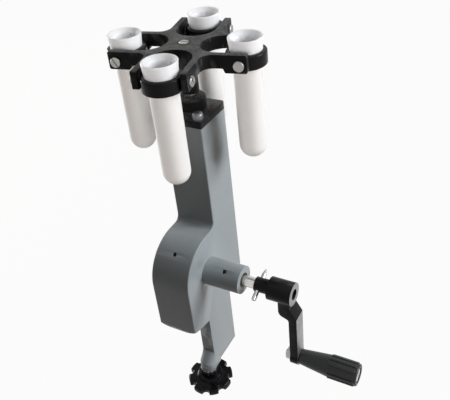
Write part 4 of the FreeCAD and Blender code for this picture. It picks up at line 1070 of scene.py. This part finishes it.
def make_lamp(name, power, size, place, target, colour):
    """Round area lamp at a place, turned towards a target."""
    data = bpy.data.lights.new(name, "AREA")
    data.color = colour
    data.energy = power
    data.shape = "DISK"
    data.size = size
    lamp = linked(name, data)
    lamp.location = place
    lamp.rotation_euler = (Vector(target) - Vector(place)).to_track_quat("-Z", "Y").to_euler()


def light_only(lamp, pieces):
    """Keeps a lamp's light to some of the pieces."""
    receivers = bpy.data.collections.new(f"{lamp}_receivers")
    for piece in pieces:
        receivers.objects.link(bpy.data.objects[piece])
    bpy.data.objects[lamp].light_linking.receiver_collection = receivers


def make_camera():
    """Camera that sees the object from the photograph's side."""
    data = bpy.data.cameras.new("camera")
    data.lens = stage_settings().lens
    data.sensor_width = 36.0
    camera = linked("camera", data)
    eye = Vector((266.8, -396.3, 523.3)) * MM
    right = Vector((0.8788, 0.4682, -0.0924))
    back = Vector((0.4312, -0.6960, 0.5742))
    camera.matrix_world = place_matrix(eye, right, back)
    bpy.context.scene.camera = camera


def make_stage():
    settings = stage_settings()
    bpy.context.scene.view_settings.view_transform = "Standard"
    make_floor()
    make_sky()
    make_camera()
    middle = (0.02, 0, 0.2)
    make_lamp("key_lamp", settings.key_power, size=0.8, place=(1.2, 0.4, 0.8), target=middle,
              colour=(0.97, 0.985, 1.0))
    make_lamp("fill_lamp", settings.fill_power, size=0.6, place=(-1.2, 0.3, 0.35), target=middle,
              colour=(1.0, 0.96, 0.93))
    make_lamp("front_lamp", settings.front_power, size=0.8, place=(0.4, -1.2, 0.5), target=middle,
              colour=(1.0, 0.97, 0.94))
    light_only("front_lamp", [f"shield_{bucket}" for bucket in BUCKETS])


# Operators

class CENTRIFUGE_OT_casting(bpy.types.Operator):
    """Dress the casting, its gear cover, its bearing cap and the bearings"""
    bl_idname = "centrifuge.casting"
    bl_label = "Casting"

    def execute(self, context):
        make_casting()
        return {"FINISHED"}


class CENTRIFUGE_OT_rotor(bpy.types.Operator):
    """Dress the rotor, its pivot screws and the spindle"""
    bl_idname = "centrifuge.rotor"
    bl_label = "Rotor"

    def execute(self, context):
        make_rotor()
        return {"FINISHED"}


class CENTRIFUGE_OT_buckets(bpy.types.Operator):
    """Make the four trunnion rings and the tube shields that hang in them"""
    bl_idname = "centrifuge.buckets"
    bl_label = "Buckets"

    def execute(self, context):
        make_buckets()
        return {"FINISHED"}


class CENTRIFUGE_OT_crank(bpy.types.Operator):
    """Dress the crank arm, its shaft, its pin and the handle's bolt"""
    bl_idname = "centrifuge.crank"
    bl_label = "Crank"

    def execute(self, context):
        make_crank()
        return {"FINISHED"}


class CENTRIFUGE_OT_grip(bpy.types.Operator):
    """Make the ribbed handle grip"""
    bl_idname = "centrifuge.grip"
    bl_label = "Handle grip"

    def execute(self, context):
        make_grip()
        return {"FINISHED"}


class CENTRIFUGE_OT_clamp(bpy.types.Operator):
    """Make the star knob, its threaded stud and the washer"""
    bl_idname = "centrifuge.clamp"
    bl_label = "Bench clamp"

    def execute(self, context):
        make_clamp()
        return {"FINISHED"}


class CENTRIFUGE_OT_stage(bpy.types.Operator):
    """Set up the floor, the lamps and the camera"""
    bl_idname = "centrifuge.stage"
    bl_label = "Stage"

    def execute(self, context):
        make_stage()
        return {"FINISHED"}


OPERATORS = (
    CENTRIFUGE_OT_casting,
    CENTRIFUGE_OT_rotor,
    CENTRIFUGE_OT_buckets,
    CENTRIFUGE_OT_crank,
    CENTRIFUGE_OT_grip,
    CENTRIFUGE_OT_clamp,
    CENTRIFUGE_OT_stage,
)


class CENTRIFUGE_PT_panel(bpy.types.Panel):
    """Settings and steps of the centrifuge's dressing"""
    bl_label = "Centrifuge"
    bl_idname = "CENTRIFUGE_PT_panel"
    bl_space_type = "VIEW_3D"
    bl_region_type = "UI"
    bl_category = "Centrifuge"

    def draw(self, context):
        for settings in (finish_settings(), size_settings(), stage_settings()):
            column = self.layout.column()
            for name in settings.__annotations__:
                column.prop(settings, name)
        for operator in OPERATORS:
            self.layout.operator(operator.bl_idname)


SETTINGS = {
    "centrifuge_finish": FinishSettings,
    "centrifuge_size": SizeSettings,
    "centrifuge_stage": StageSettings,
}


def register():
    for name, kind in SETTINGS.items():
        bpy.utils.register_class(kind)
        setattr(bpy.types.Scene, name, PointerProperty(type=kind))
    for kind in (*OPERATORS, CENTRIFUGE_PT_panel):
        bpy.utils.register_class(kind)


def unregister():
    for kind in (CENTRIFUGE_PT_panel, *reversed(OPERATORS)):
        bpy.utils.unregister_class(kind)
    for name, kind in SETTINGS.items():
        delattr(bpy.types.Scene, name)
        bpy.utils.unregister_class(kind)


def main():
    register()
    build_shader_groups()
    build_materials()
    build_round_copies_tree()
    build_thread_tree()
    bpy.ops.centrifuge.casting()
    bpy.ops.centrifuge.rotor()
    bpy.ops.centrifuge.buckets()
    bpy.ops.centrifuge.crank()
    bpy.ops.centrifuge.grip()
    bpy.ops.centrifuge.clamp()
    bpy.ops.centrifuge.stage()
    bpy.context.view_layer.update()


if __name__ == "__main__":
    main()
